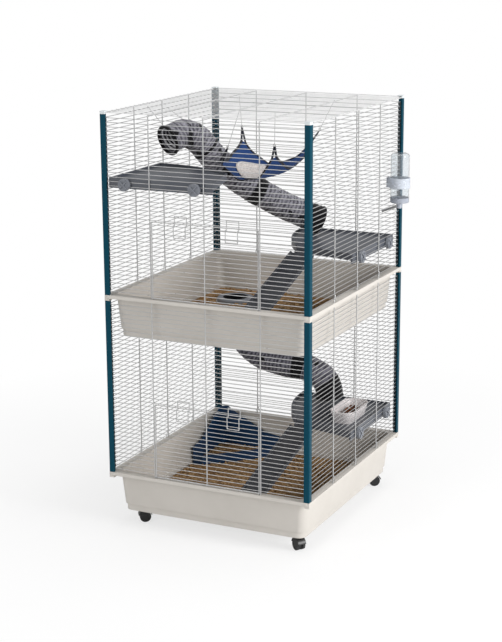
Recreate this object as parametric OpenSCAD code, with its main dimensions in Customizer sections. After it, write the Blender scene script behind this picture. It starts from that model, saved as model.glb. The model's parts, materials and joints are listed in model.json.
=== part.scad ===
// Two-storey ferret cage on casters.
// Wire panels stand between corner posts on two deep plastic trays.
// Millimetres, +Z up, +Y to the back, origin on the floor at the middle of the plan.

/* [Cage] */
// Distance between the post centre lines across the front
cage_w = 740; // [700:10:780]
// Distance between the post centre lines from front to back
cage_d = 820; // [800:10:860]
// Length of a corner post, and height of one storey of wire
post_h = 610; // [595:15:640]
// Height of the tray floor's underside above the ground
caster_h = 53; // [50:1:60]
// Distance between the lower post's top and the upper post's foot
storey_gap = 20; // [16:1:26]

/* [Trays] */
// Depth of a tray from its rim to its underside
tray_h = 145; // [130:5:160]
// Wall thickness of a tray
tray_t = 3; // [2.5:0.5:4]
// Slope of a tray wall, as the inset gained from rim to step
tray_taper = 10; // [6:1:12]
// Corner radius of a tray
tray_r = 28; // [24:1:34]
// Diameter of the hole in the upper tray's floor
hole_d = 104; // [96:1:110]

/* [Wire] */
// Diameter of the thin cross wires
row_d = 2.4; // [2:0.1:3]
// Diameter of the cross wires of the roof, which are set twice as far apart
roof_row_d = 1.8; // [1.6:0.1:2.4]
// Diameter of the uprights that carry them
upright_d = 4; // [3.6:0.1:4.4]
// Spacing of the cross wires
pitch = 15; // [15:1:18]
// Distance from the middle of a panel to its outer uprights
upright_x = 200; // [190:5:215]

/* [Doors] */
// Rows of cross wire in a door
door_rows = 17; // [14:1:19]
// Travel of a door, in degrees, from upright to hanging open
door_travel = 105; // [60:5:105]
// Travel of a latch down the door
latch_drop = 22; // [20:1:24]

/* [Shelves and ramps] */
// Length of a shelf along its panel
shelf_l = 384; // [370:2:400]
// Reach of a shelf into the cage
shelf_reach = 350; // [330:5:370]
// Height of the middle of the knobs of a low shelf above the tray rim
shelf_low = 110; // [95:15:140]
// Height of the middle of the knobs of the high shelf above the tray rim
shelf_high = 380; // [350:15:410]
// Distance between the two knobs of a shelf
knob_gap = 260; // [240:5:280]
// Diameter of a knob
knob_d = 42; // [36:1:48]
// Length of a ramp from its hinge
ramp_l = 440; // [425:5:445]
// Width of a ramp
ramp_w = 100; // [90:2:110]
// Slope of a ramp in degrees
ramp_slope = 32; // [30:1:34]

/* [Bottle] */
// Diameter of the water bottle
bottle_d = 66; // [60:1:70]
// Height of the water bottle without its cap
bottle_h = 158; // [140:2:180]

/* [Bowl and pan] */
// Length of the food bowl
bowl_l = 190; // [170:5:200]
// Width of the food bowl
bowl_w = 92; // [80:2:100]
// Height of the food bowl
bowl_h = 46; // [36:1:56]
// Length of the litter pan's two straight walls
pan_leg = 252; // [230:2:262]
// Height of the litter pan's corner
pan_h = 166; // [130:2:180]

/* [Casters] */
// Diameter of a caster wheel
wheel_d = 40; // [36:1:42]
// Inset of a caster from the post centre lines
caster_inset = 71; // [66:1:80]

/* [Tunnels and hammock] */
// Outer diameter of the fabric tunnels
tunnel_d = 100; // [92:2:102]
// Thickness of the tunnel fabric
tunnel_t = 4; // [3:0.5:5]
// Depth of the hammock's sag
hammock_sag = 90; // [84:2:96]

/* [Hidden] */

// Colours
c_tray = [0.80, 0.78, 0.73];
c_post = [0.04, 0.36, 0.46];
c_wire = [0.80, 0.80, 0.82];
c_shelf = [0.30, 0.32, 0.36];
c_knob = [0.55, 0.56, 0.58];
c_plush = [0.36, 0.35, 0.40];
c_cloth = [0.14, 0.26, 0.58];
c_pan = [0.05, 0.12, 0.32];
c_bowl = [0.88, 0.85, 0.82];
c_black = [0.06, 0.06, 0.07];
c_clear = [0.85, 0.90, 0.94, 0.5];

// Fits
run = 0.05;
clear = 0.3;
lap = 0.2;
cut = 1;

// Heights
half_w = cage_w/2;
half_d = cage_d/2;
base_z = caster_h + tray_h;
mid_z = base_z + post_h + storey_gap;
roof_z = mid_z + post_h;
base_floor_z = base_z - tray_h + tray_t;
mid_floor_z = mid_z - tray_h + tray_t;

// Tray: insets are measured from the post centre lines
rim_out = 9;
rim_drop = 12;
wall_in = 15;
step_in = wall_in + tray_taper;
foot_in = step_in + 4;
step_drop = tray_h - 25;
tray_low_h = tray_h - step_drop - tray_t;

// Post: an outer angle with a square core that the wires butt against
post_out = 8;
post_leg = 20;
post_t = 4;
post_r = 4;
post_core = 12;
wire_in = post_out;

// Wires of a panel, in the panel's own frame: x along it, -y outwards
row_y = 1.5;
upright_y = row_y - (row_d + upright_d)/2 + lap;
row_first = 12.5;
rows = floor((post_h - row_first - row_d)/pitch) + 1;
upright_xs = [-upright_x, 0, upright_x];
wire_fn = 24;
panel_face = row_y + row_d/2;
panel_out = row_y - row_d/2;
edge_d = 3;
edge_past = 1.6;
function row_z(i) = row_first + i*pitch;

// Door: hung by eyes on a sill wire
door_wire_d = 4;
door_top_d = 3;
door_side = upright_x - 6;
door_reach = door_side + door_wire_d/2;
sill_z = 5;
sill_d = 4;
eye_w = 3;
eye_d = 9;
eye_xs = [-door_side, 0, door_side];
door_top_z = row_z(door_rows) - 5.5;
lintel = door_rows;

// Latches
latch_d = 3;
latch_w = 44;
latch_xs = [-113, 77];
latch_jog = 5;
latch_y = panel_out - latch_d/2 - clear;
latch_low_z = row_z(door_rows - 3) - 7.5;
latch_mid_z = row_z(door_rows - 1) + 4;
latch_top_z = row_z(lintel) + 20;
guide_z = row_z(door_rows - 3);
guide_h = 4;
guide_d = 5.6;

// Shelf outline, in the shelf's own frame: x along its panel, +y into the cage
edge_angle = 15;
corner_reach = 236;
bow_run = shelf_l - corner_reach*tan(edge_angle);
bow_rise = shelf_reach - corner_reach;
shelf_bow = (bow_run*bow_run + bow_rise*bow_rise)/(2*bow_rise);
bow_y = shelf_reach - shelf_bow;
rim_w = 4;
rim_top = 20;
rim_low = -4;
plate_top = 12;
plate_t = 4;
apron_low = -14;
apron_t = 7;
boss_d = 18;
boss_l = 22;
screw_d = 6;
screw_l = 19;
bow_steps = 20;

// Places of the shelves along their panels, and of the ramp along the slanted edge
high_shelf_x = -162;
low_shelf_y = 160;
ramp_seat = 196;
lug_out = 8;
lug_d = 12;
hinge_d = 6;
hinge_z = -2;
knuckle_l = 58;
lug_l = 10;
lug_root = 6;
ramp_t = 5;
ramp_edge = 6;
ramp_edge_w = 5;
ramp_gap = 10;
cleat_h = 1.6;
cleat_w = 4;
cleat_gap = 30;

// Knobs
knob_t = 12;
knob_rib = 5;
knob_rib_w = 4;

// Floor hole and its ring
hole_x = -195;
hole_y = 215;
ring_d = 138;
ring_h = 17;
ring_bore = 94;
neck_drop = 14;
neck_d = hole_d - 2*clear;
ring_round = 6;

// Tunnels: routes of hand-placed points, smoothed between them
tunnel_sides = 20;
tunnel_steps = 3;
lower_route = [
  [hole_x, hole_y, mid_floor_z - neck_drop - clear],
  [-192, 219, mid_z - 235],
  [-160, 228, mid_z - 295],
  [-101, 240, mid_z - 345],
  [-12, 250, mid_z - 368],
  [62, 264, mid_z - 378],
  [122, 280, mid_z - 408],
  [146, 287, mid_z - 445],
  [152, 290, base_z + shelf_low + 32]
];
upper_route = [
  [-285, -120, roof_z - 120],
  [-257, -62, roof_z - 101],
  [-229, -20, roof_z - 119],
  [-211, 10, roof_z - 154],
  [-178, 42, roof_z - 206],
  [-121, 100, roof_z - 277],
  [-49, 160, roof_z - 338],
  [24, 220, roof_z - 390],
  [110, 292, mid_z + shelf_low + 61]
];

// Hammock: cloth corners, the tops of its loops and the roof wires it hangs from
cloth_t = 3;
cloth_n = 18;
front_sag = 80;
rear_sag = 80;
left_sag = 25;
right_sag = 62;
side_spread = 5;
end_pull = 20;
cloth_corners = [
  [-60, -180, roof_z - 169],
  [145, -180, roof_z - 133],
  [131, 150, roof_z - 139],
  [-130, 150, roof_z - 135]
];
loop_tops = [
  [-25, -182, roof_z - 122],
  [148, -184, roof_z - 106],
  [156, 176, roof_z - 96],
  [-140, 165, roof_z - 102]
];
roof_low = roof_z + upright_d - clear;
function roof_row(i) = (2*i + 1)*pitch;
roof_hooks = [
  [25, roof_row(-7), roof_low],
  [155, roof_row(-7), roof_low],
  [190, roof_row(7), roof_low],
  [-165, roof_row(6), roof_low]
];
tunnel_hooks = [[-320, roof_row(-7), roof_low], [-224, roof_row(-8), roof_low]];
tunnel_hung = [0, tunnel_steps];
hanger_d = 2;
strap_w = 10;
strap_t = 2.4;
hook_rise = 2.1;
lining_from = [2, 1];
lining_to = [16, 16];
lining_t = 10;

// Bottle, hung outside the right panel with its cap down
bottle_y = 302;
bottle_gap = 6;
bottle_x = half_w + bottle_gap + bottle_d/2 - panel_out;
bottle_up = 284;
bottle_z = mid_z + bottle_up;
bottle_t = 1.6;
bottle_neck_d = 40;
bottle_neck_h = 12;
cap_d = 52;
cap_h = 28;
nose_d = 26;
nose_h = 21;
nose_gap = 0.02;
spout_d = 8;
spout_bore = 6;
spout_slope = 22;
spout_gap_z = mid_z + row_z(14) + pitch/2;
spout_in = 27;
spout_out = 38;
ball_d = 5.84;
lip_d = 5;
lip_t = 1;
clamp_up = 308;
clamp_z = mid_z + clamp_up;
clamp_h = 36;
clamp_t = 3;
clamp_w = 26;

// Casters
stem_d = 8;
stem_h = 7;
stem_boss_d = 20;
stem_boss_h = stem_h + 2;
disc_d = 28;
disc_t = 3;
trail = 13;
caster_turn = 35;
wheel_w = 10;
cheek_w = 8;
axle_d = 6;
hood_t = 2.5;
hood_gap = 2;

// Litter pan, with its square corner in the cage's rear left corner
pan_t = 3;
pan_x = -half_w + foot_in + tray_t + 4;
pan_y = half_d - foot_in - tray_t - 4;
pan_r = 25;
pan_end = 46;
pan_end_h = 74;
pan_front_h = 42;
pan_foot = stem_boss_h - tray_t + 2*clear;
pan_slope_run = 185;

// Bowl
bowl_side = 79;
bowl_x = half_w - bowl_side;
bowl_back = 20;
bowl_y = low_shelf_y - bowl_back;
bowl_t = 4;
bowl_in = 11;

// Middle of the whole plan: the bottle clamp reaches right, the high shelf's knobs forward
clamp_reach = bottle_x + bottle_d/2 + run + clamp_t;
knob_reach = half_d - panel_out + clear + knob_t + knob_rib;
plan_x = (clamp_reach - half_w - rim_out)/2;
plan_y = (half_d + rim_out - knob_reach)/2;

// ---- Shared shapes ----

// Everything is drawn about the middle of the cage and moved to the middle of the plan
module centred() {
  translate([-plan_x, -plan_y, 0]) children();
}

module rounded(w, d, r, fn = 48) {
  square([w - 2*r, d], center = true);
  square([w, d - 2*r], center = true);
  for (sx = [-1, 1], sy = [-1, 1]) {
    translate([sx*(w/2 - r), sy*(d/2 - r)]) circle(r = r, $fn = fn);
  }
}

module tray_slab(inset, r, h, fn = 48) {
  linear_extrude(height = h) rounded(cage_w - 2*inset, cage_d - 2*inset, r, fn);
}

module wire_x(x0, x1, y, z, d) {
  translate([x0, y, z]) rotate([0, 90, 0]) cylinder(d = d, h = x1 - x0, $fn = wire_fn);
}

module wire_y(x, y0, y1, z, d) {
  translate([x, y0, z]) rotate([-90, 0, 0]) cylinder(d = d, h = y1 - y0, $fn = wire_fn);
}

module wire_z(x, y, z0, z1, d) {
  translate([x, y, z0]) cylinder(d = d, h = z1 - z0, $fn = wire_fn);
}

// A straight rod between two points
module rod(a, b, d) {
  v = b - a;
  length = norm(v);
  turn = atan2(v[1], v[0]);
  tilt = acos(v[2]/length);
  translate(a) rotate([0, tilt, turn]) cylinder(d = d, h = length, $fn = wire_fn);
}

// Puts what is drawn in a panel's frame on the front, right, rear or left of a storey
module on_front(z) {
  translate([0, -half_d, z]) children();
}

module on_right(z) {
  translate([half_w, 0, z]) rotate([0, 0, 90]) children();
}

module on_rear(z) {
  translate([0, half_d, z]) rotate([0, 0, 180]) children();
}

module on_left(z) {
  translate([-half_w, 0, z]) rotate([0, 0, -90]) children();
}

// ---- Trays ----

module corner_feet() {
  side = post_leg - 2;
  for (sx = [-1, 1], sy = [-1, 1]) {
    x = sx*(half_w + rim_out - tray_t/2 - side/2);
    y = sy*(half_d + rim_out - tray_t/2 - side/2);
    translate([x - side/2, y - side/2, -storey_gap]) cube([side, side, storey_gap - tray_t/2]);
  }
}

module tray_walls() {
  hull() {
    translate([0, 0, -2]) tray_slab(wall_in, tray_r, 1, 32);
    translate([0, 0, -step_drop - tray_t]) tray_slab(step_in, tray_r, 1, 32);
  }
  translate([0, 0, -tray_h]) tray_slab(foot_in, tray_r, tray_low_h + tray_t + 1, 32);
}

module tray_hollow() {
  hull() {
    translate([0, 0, cut]) tray_slab(wall_in + tray_t, tray_r - tray_t, 1, 32);
    translate([0, 0, -step_drop]) tray_slab(step_in + tray_t, tray_r - tray_t, 1, 32);
  }
  translate([0, 0, -tray_h + tray_t]) {
    tray_slab(foot_in + tray_t, tray_r - tray_t, tray_low_h + tray_t + 1, 32);
  }
}

module tray_rim() {
  difference() {
    translate([0, 0, -rim_drop]) tray_slab(-rim_out, rim_out + post_r, rim_drop);
    translate([0, 0, -rim_drop - cut]) {
      tray_slab(tray_t - rim_out, rim_out + post_r - tray_t, rim_drop - tray_t + cut);
    }
  }
}

module tray() {
  difference() {
    union() {
      tray_walls();
      tray_rim();
      corner_feet();
    }
    tray_hollow();
  }
}

module stem_place(sx, sy) {
  translate([sx*(half_w - caster_inset), sy*(half_d - caster_inset), caster_h]) children();
}

module base_tray() {
  color(c_tray) centred() difference() {
    union() {
      translate([0, 0, base_z]) tray();
      for (sx = [-1, 1], sy = [-1, 1]) {
        stem_place(sx, sy) cylinder(d = stem_boss_d, h = stem_boss_h, $fn = 48);
      }
    }
    for (sx = [-1, 1], sy = [-1, 1]) {
      stem_place(sx, sy) translate([0, 0, -cut]) {
        cylinder(d = stem_d + 2*run, h = stem_h + 1 + cut, $fn = 48);
      }
    }
  }
}

module mid_tray() {
  color(c_tray) centred() difference() {
    translate([0, 0, mid_z]) tray();
    translate([hole_x, hole_y, mid_floor_z - tray_t - cut]) {
      cylinder(d = hole_d, h = tray_t + 2*cut, $fn = 96);
    }
  }
}

module floor_hole_ring() {
  r = ring_d/2;
  neck = neck_d/2;
  bore = ring_bore/2;
  arc = [for (a = [0:15:90]) [r - ring_round + ring_round*cos(a), ring_h - ring_round + ring_round*sin(a)]];
  color(c_tray) centred() translate([hole_x, hole_y, mid_floor_z]) {
    rotate_extrude($fn = 96) {
      polygon(concat([[bore, -neck_drop], [neck, -neck_drop], [neck, 0], [r, 0]], arc, [[bore, ring_h]]));
    }
  }
}

// ---- Posts ----

// One corner at the front left: the angle's outer faces lie post_out outside the centre lines
module post_angle(h) {
  linear_extrude(height = h) difference() {
    union() {
      translate([post_r, 0]) square([post_leg - post_r, post_t]);
      translate([0, post_r]) square([post_t, post_leg - post_r]);
      translate([post_r, post_r]) circle(r = post_r, $fn = 48);
      translate([post_r, post_t]) square([post_r, post_r]);
    }
    translate([post_t, post_t]) square(post_leg);
  }
}

module corner_place(sx, sy, z) {
  translate([sx*(half_w + post_out), sy*(half_d + post_out), z]) {
    mirror([sx > 0 ? 1 : 0, 0, 0]) mirror([0, sy > 0 ? 1 : 0, 0]) children();
  }
}

module post(sx, sy, z) {
  color(c_post) centred() corner_place(sx, sy, z) {
    post_angle(post_h);
    translate([post_t, post_t, 0]) cube([post_core, post_core, post_h]);
  }
}

module post_caps() {
  cap_top = 10;
  lid_t = 3;
  color(c_tray) centred() for (sx = [-1, 1], sy = [-1, 1]) {
    corner_place(sx, sy, roof_z) {
      post_angle(cap_top);
      translate([1, 1, cap_top - lid_t]) cube([post_leg - 1, post_leg - 1, lid_t]);
    }
  }
}

// ---- Wire panels ----

module row(span, i) {
  reach = span/2 - wire_in;
  wire_x(-reach, reach, row_y, row_z(i), row_d);
}

module split_row(span, i) {
  reach = span/2 - wire_in;
  wire_x(-reach, -upright_x, row_y, row_z(i), row_d);
  wire_x(upright_x, reach, row_y, row_z(i), row_d);
}

module closed_panel(span, top) {
  color(c_wire) {
    for (i = [0:rows - 1]) row(span, i);
    for (x = upright_xs) wire_z(x, upright_y, 0, top, upright_d);
  }
}

module front_panel(span, top) {
  color(c_wire) {
    for (i = [0:lintel - 1]) split_row(span, i);
    for (i = [lintel:rows - 1]) row(span, i);
    for (x = [-upright_x, upright_x]) wire_z(x, upright_y, 0, top, upright_d);
    wire_z(0, upright_y, row_z(lintel), top, upright_d);
    wire_x(-upright_x, upright_x, upright_y, sill_z, sill_d);
  }
}

lower_top = post_h + storey_gap - tray_t;

// The cross wires are welded to the side wires, and pass just over the three between them
module roof_grille() {
  side = 2;
  reach_x = half_w + side + edge_past;
  reach_y = half_d + side + edge_past;
  low_z = roof_z + upright_d/2;
  side_z = low_z + lap + run;
  thin_z = side_z + (roof_row_d + upright_d)/2 - lap;
  edge_z = low_z + (edge_d + upright_d)/2 - lap;
  edge_gap = 20;
  rows = floor((half_d - edge_gap)/(2*pitch));
  color(c_wire) centred() {
    for (sx = [-1, 1]) wire_y(sx*(half_w + side), -reach_y, reach_y, side_z, upright_d);
    for (sy = [-1, 1]) wire_x(-reach_x, reach_x, sy*(half_d + side), edge_z, edge_d);
    for (x = upright_xs) wire_y(x, -reach_y, reach_y, low_z, upright_d);
    for (i = [-rows:rows - 1]) wire_x(-reach_x, reach_x, roof_row(i), thin_z, roof_row_d);
  }
}

// A bent wire that stands on the rim and holds one upright
module clip(x) {
  spread = 9;
  tall = 26;
  clip_d = 2;
  y = upright_y - upright_d/2 - clip_d/2;
  for (s = [-1, 1]) rod([x + s*spread, y, clear], [x, y, tall], clip_d);
}

module panel_clips() {
  color(c_wire) centred() for (z = [base_z, mid_z]) {
    for (x = upright_xs) {
      on_right(z) clip(x);
      on_rear(z) clip(x);
      on_left(z) clip(x);
    }
  }
}

// ---- Doors and latches ----

module latch_guides(x) {
  for (dx = [0, latch_w]) {
    translate([x + dx, latch_y, guide_z - guide_h/2]) {
      difference() {
        cylinder(d = guide_d, h = guide_h, $fn = 32);
        translate([0, 0, -cut]) cylinder(d = latch_d + 2*run, h = guide_h + 2*cut, $fn = 32);
      }
    }
  }
}

module door() {
  color(c_wire) difference() {
    union() {
      for (i = [0:door_rows - 1]) wire_x(-door_reach, door_reach, row_y, row_z(i), row_d);
      wire_x(-door_reach, door_reach, panel_out + door_top_d/2, door_top_z, door_top_d);
      for (x = eye_xs) wire_z(x, upright_y, sill_z, door_top_z, door_wire_d);
      for (x = eye_xs) wire_x(x - eye_w/2, x + eye_w/2, upright_y, sill_z, eye_d);
      for (x = latch_xs) latch_guides(x);
    }
    wire_x(-upright_x, upright_x, upright_y, sill_z, sill_d + 2*run);
  }
}

module latch(x) {
  y = latch_y;
  p = [
    [x, y, latch_mid_z], [x, y, latch_low_z],
    [x + latch_w, y, latch_low_z], [x + latch_w, y, latch_mid_z],
    [x + latch_w + latch_jog, y, latch_mid_z], [x + latch_w + latch_jog, y, latch_top_z],
    [x + latch_jog, y, latch_top_z], [x + latch_jog, y, latch_mid_z], [x, y, latch_mid_z]
  ];
  color(c_wire) {
    for (i = [0:len(p) - 2]) rod(p[i], p[i + 1], latch_d);
    for (q = p) translate(q) sphere(d = latch_d, $fn = wire_fn);
  }
}

// ---- Shelves ----

// The outline of a shelf, drawn in by d on every side: a square end on the left,
// a slanted edge on the right and a wide bow towards the middle of the cage
function slant_x(y, d) = shelf_l/2 - d/cos(edge_angle) - y*tan(edge_angle);
function corner_y(d) = let (
    r = shelf_bow - d,
    t = tan(edge_angle),
    b = slant_x(0, d) + shelf_l/2,
    m = b*t + bow_y
  ) (m + sqrt(m*m - (1 + t*t)*(b*b + bow_y*bow_y - r*r)))/(1 + t*t);
function outline(d) = let (
    r = shelf_bow - d,
    y = corner_y(d),
    a0 = atan2(y - bow_y, slant_x(y, d) + shelf_l/2),
    a1 = acos(d/r)
  ) concat(
    [[d - shelf_l/2, d], [slant_x(d, d), d]],
    [for (i = [0:bow_steps]) let (a = a0 + (a1 - a0)*i/bow_steps) [r*cos(a) - shelf_l/2, bow_y + r*sin(a)]]
  );

module hinge_frame() {
  y = ramp_seat;
  translate([slant_x(y, 0), y, hinge_z]) rotate([0, 0, edge_angle]) {
    translate([lug_out, 0, 0]) children();
  }
}

module shelf() {
  difference() {
    union() {
      translate([0, 0, plate_top - plate_t]) linear_extrude(height = plate_t) polygon(outline(rim_w/2));
      difference() {
        translate([0, 0, rim_low]) linear_extrude(height = rim_top - rim_low) polygon(outline(0));
        translate([0, 0, rim_low - cut]) {
          linear_extrude(height = rim_top - rim_low + 2*cut) polygon(outline(rim_w));
        }
      }
      translate([-shelf_l/2, 0, apron_low]) cube([shelf_l, apron_t, rim_top - apron_low]);
      for (s = [-1, 1]) {
        translate([s*knob_gap/2, 0, 0]) rotate([-90, 0, 0]) cylinder(d = boss_d, h = boss_l, $fn = 48);
      }
    }
    for (s = [-1, 1]) {
      translate([s*knob_gap/2, -cut, 0]) rotate([-90, 0, 0]) {
        cylinder(d = screw_d + 2*run, h = screw_l + 1 + cut, $fn = 48);
      }
    }
  }
}

// Two lugs with a pin between them, for the ramp
module ramp_lugs() {
  total = knuckle_l + 2*clear;
  hinge_frame() {
    for (s = [-1, 1]) {
      y0 = s > 0 ? total/2 : -total/2 - lug_l;
      translate([0, y0, 0]) rotate([-90, 0, 0]) cylinder(d = lug_d, h = lug_l, $fn = 48);
      translate([-lug_out - 1, y0, rim_low + 1 - hinge_z]) cube([lug_out + 1, lug_l, lug_root]);
    }
    translate([0, -total/2 - 1, 0]) rotate([-90, 0, 0]) cylinder(d = hinge_d, h = total + 2, $fn = 48);
  }
}

module low_shelf() {
  color(c_shelf) {
    difference() {
      shelf();
      hinge_frame() translate([-lug_out - rim_w - cut, -ramp_w/2, plate_top + 1 - hinge_z]) {
        cube([rim_w + 2*cut, ramp_w, rim_top]);
      }
    }
    ramp_lugs();
  }
}

module low_shelf_place(z) {
  on_right(z + shelf_low) translate([low_shelf_y, panel_face, 0]) mirror([1, 0, 0]) children();
}

module high_shelf_place() {
  on_front(mid_z + shelf_high) translate([high_shelf_x, panel_face, 0]) children();
}

// A knob outside the grille, with a screw that reaches through it into the shelf
module knob(s) {
  face = panel_out - panel_face - clear;
  color(c_knob) translate([s*knob_gap/2, 0, 0]) rotate([90, 0, 0]) {
    translate([0, 0, -face]) {
      cylinder(d = knob_d, h = knob_t, $fn = 64);
      for (a = [45, -45]) {
        rotate([0, 0, a]) translate([-knob_d*0.43, -knob_rib_w/2, knob_t - 1]) {
          cube([knob_d*0.86, knob_rib_w, knob_rib + 1]);
        }
      }
    }
    translate([0, 0, -screw_l]) cylinder(d = screw_d, h = screw_l - face + 1, $fn = 48);
  }
}

// ---- Ramps ----

module ramp() {
  plank_l = ramp_l - ramp_gap;
  top = lug_d/2 - 1;
  color(c_shelf) difference() {
    union() {
      translate([0, -knuckle_l/2, 0]) rotate([-90, 0, 0]) cylinder(d = lug_d, h = knuckle_l, $fn = 48);
      translate([0, -knuckle_l/2, top - ramp_t]) cube([ramp_gap + 1, knuckle_l, ramp_t]);
      translate([ramp_gap, -ramp_w/2, top - ramp_t]) cube([plank_l, ramp_w, ramp_t]);
      for (s = [-1, 1]) {
        y = s > 0 ? ramp_w/2 - ramp_edge_w : -ramp_w/2;
        translate([ramp_gap, y, top - ramp_t]) cube([plank_l, ramp_edge_w, ramp_t + ramp_edge]);
      }
      for (x = [ramp_gap + cleat_gap:cleat_gap:ramp_l - cleat_gap/2]) {
        translate([x, -ramp_w/2 + 1, top - 1]) cube([cleat_w, ramp_w - 2, cleat_h + 1]);
      }
    }
    translate([0, -knuckle_l/2 - cut, 0]) rotate([-90, 0, 0]) {
      cylinder(d = hinge_d + 2*run, h = knuckle_l + 2*cut, $fn = 48);
    }
  }
}

module ramp_on_shelf(z) {
  centred() low_shelf_place(z) hinge_frame() rotate([0, ramp_slope, 0]) ramp();
}

// ---- Tunnels ----

// A smooth curve through the points of a route
function spline_point(p, i, t) = let (
    a = p[max(i - 1, 0)], b = p[i], c = p[i + 1], d = p[min(i + 2, len(p) - 1)]
  ) 0.5*(2*b + (c - a)*t + (2*a - 5*b + 4*c - d)*t*t + (3*b - a - 3*c + d)*t*t*t);
function spline(p, n) = concat(
  [for (i = [0:len(p) - 2]) for (k = [0:n - 1]) spline_point(p, i, k/n)],
  [p[len(p) - 1]]
);
function unit(v) = v/norm(v);
function heading(c, i, start) = i == 0 ? start : unit(c[min(i + 1, len(c) - 1)] - c[i - 1]);
function ring_point(c, i, start, up, r, a) = let (
    t = heading(c, i, start), side = unit(cross(t, up)), rise = cross(side, t)
  ) c[i] + r*(side*cos(a) + rise*sin(a));

// A tube of fabric along a route: an outer skin, an inner skin and two ring ends
module fabric_tube(route, start, up, outer, inner) {
  c = spline(route, tunnel_steps);
  n = len(c);
  m = tunnel_sides;
  points = [
    for (r = [outer, inner]) for (i = [0:n - 1]) for (k = [0:m - 1]) ring_point(c, i, start, up, r, 360*k/m)
  ];
  far = n*m;
  function id(layer, i, k) = layer*far + i*m + (k % m);
  faces = concat(
    [for (i = [0:n - 2]) for (k = [0:m - 1]) [id(0, i, k), id(0, i, k + 1), id(0, i + 1, k + 1), id(0, i + 1, k)]],
    [for (i = [0:n - 2]) for (k = [0:m - 1]) [id(1, i, k), id(1, i + 1, k), id(1, i + 1, k + 1), id(1, i, k + 1)]],
    [for (k = [0:m - 1]) [id(0, 0, k), id(1, 0, k), id(1, 0, k + 1), id(0, 0, k + 1)]],
    [for (k = [0:m - 1]) [id(0, n - 1, k), id(0, n - 1, k + 1), id(1, n - 1, k + 1), id(1, n - 1, k)]]
  );
  polyhedron(points = points, faces = faces, convexity = 8);
}

tunnel_turn = 180/tunnel_sides;
mouth_heading = unit(upper_route[1] - upper_route[0]);
function top_of_tunnel(i) = ring_point(
  spline(upper_route, tunnel_steps), i, mouth_heading, [0, 0, 1], tunnel_d/2*cos(tunnel_turn) + hanger_d/2, 90
);

module upper_tunnel() {
  color(c_plush) centred() fabric_tube(upper_route, mouth_heading, [0, 0, 1], tunnel_d/2, tunnel_d/2 - tunnel_t);
}

module lower_tunnel() {
  color(c_plush) centred() fabric_tube(lower_route, [0, 0, -1], [0, 1, 0], tunnel_d/2, tunnel_d/2 - tunnel_t);
}

// ---- Hammock ----

// The cloth at s across and t back: four held corners, hollow edges, a sag in the middle
function mix(a, b, f) = a*(1 - f) + b*f;
function belly(f) = 4*f*(1 - f);
function cloth_fold(s, t) = 5*sin(360*2.5*s + 200*t)*belly(s)*(1 - belly(t)) + 4*sin(360*2*t)*(1 - belly(s))*belly(t);
function cloth_at(s, t) = let (
    q = cloth_corners,
    flat = mix(mix(q[0], q[1], s), mix(q[3], q[2], s), t),
    in_x = -side_spread*belly(t)*(1 - 2*s),
    in_y = end_pull*belly(s)*(1 - 2*t),
    rest = hammock_sag - (front_sag + rear_sag + left_sag + right_sag)/2,
    drop = belly(s)*mix(front_sag, rear_sag, t) + belly(t)*mix(left_sag, right_sag, s) + rest*belly(s)*belly(t)
  ) flat + [in_x, in_y, cloth_fold(s, t) - drop];

// A sheet between two heights over the cloth, from one crossing of its even lines to another
module cloth_sheet(from, to, below, above) {
  m = to[0] - from[0];
  n = to[1] - from[1];
  points = [
    for (h = [above, below]) for (j = [0:n]) for (i = [0:m])
      cloth_at((from[0] + i)/cloth_n, (from[1] + j)/cloth_n) + [0, 0, h]
  ];
  function id(layer, i, j) = layer*(m + 1)*(n + 1) + j*(m + 1) + i;
  faces = concat(
    [for (j = [0:n - 1]) for (i = [0:m - 1]) [id(0, i, j), id(0, i, j + 1), id(0, i + 1, j + 1)]],
    [for (j = [0:n - 1]) for (i = [0:m - 1]) [id(0, i, j), id(0, i + 1, j + 1), id(0, i + 1, j)]],
    [for (j = [0:n - 1]) for (i = [0:m - 1]) [id(1, i, j), id(1, i + 1, j + 1), id(1, i, j + 1)]],
    [for (j = [0:n - 1]) for (i = [0:m - 1]) [id(1, i, j), id(1, i + 1, j), id(1, i + 1, j + 1)]],
    [for (i = [0:m - 1]) [id(0, i, 0), id(0, i + 1, 0), id(1, i + 1, 0), id(1, i, 0)]],
    [for (i = [0:m - 1]) [id(0, i + 1, n), id(0, i, n), id(1, i, n), id(1, i + 1, n)]],
    [for (j = [0:n - 1]) [id(0, 0, j + 1), id(0, 0, j), id(1, 0, j), id(1, 0, j + 1)]],
    [for (j = [0:n - 1]) [id(0, m, j), id(0, m, j + 1), id(1, m, j + 1), id(1, m, j)]]
  );
  polyhedron(points = points, faces = faces, convexity = 8);
}

module strap(a, b) {
  hull() {
    translate(a) cube([strap_w, strap_t, strap_t], center = true);
    translate(b) cube([strap_w/2, strap_t, strap_t], center = true);
  }
}

module hammock() {
  color(c_cloth) centred() {
    cloth_sheet([0, 0], [cloth_n, cloth_n], -cloth_t, 0);
    for (i = [0:3]) strap(cloth_corners[i] - [0, 0, cloth_t/2], loop_tops[i]);
  }
}

module hammock_lining() {
  color(c_bowl) centred() cloth_sheet(lining_from, lining_to, clear, lining_t);
}

module hangers() {
  color(c_wire) centred() {
    for (i = [0:3]) rod(loop_tops[i] + [0, 0, hook_rise], roof_hooks[i], hanger_d);
    for (i = [0:1]) rod(top_of_tunnel(tunnel_hung[i]), tunnel_hooks[i], hanger_d);
  }
}

// ---- Bottle ----

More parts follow.
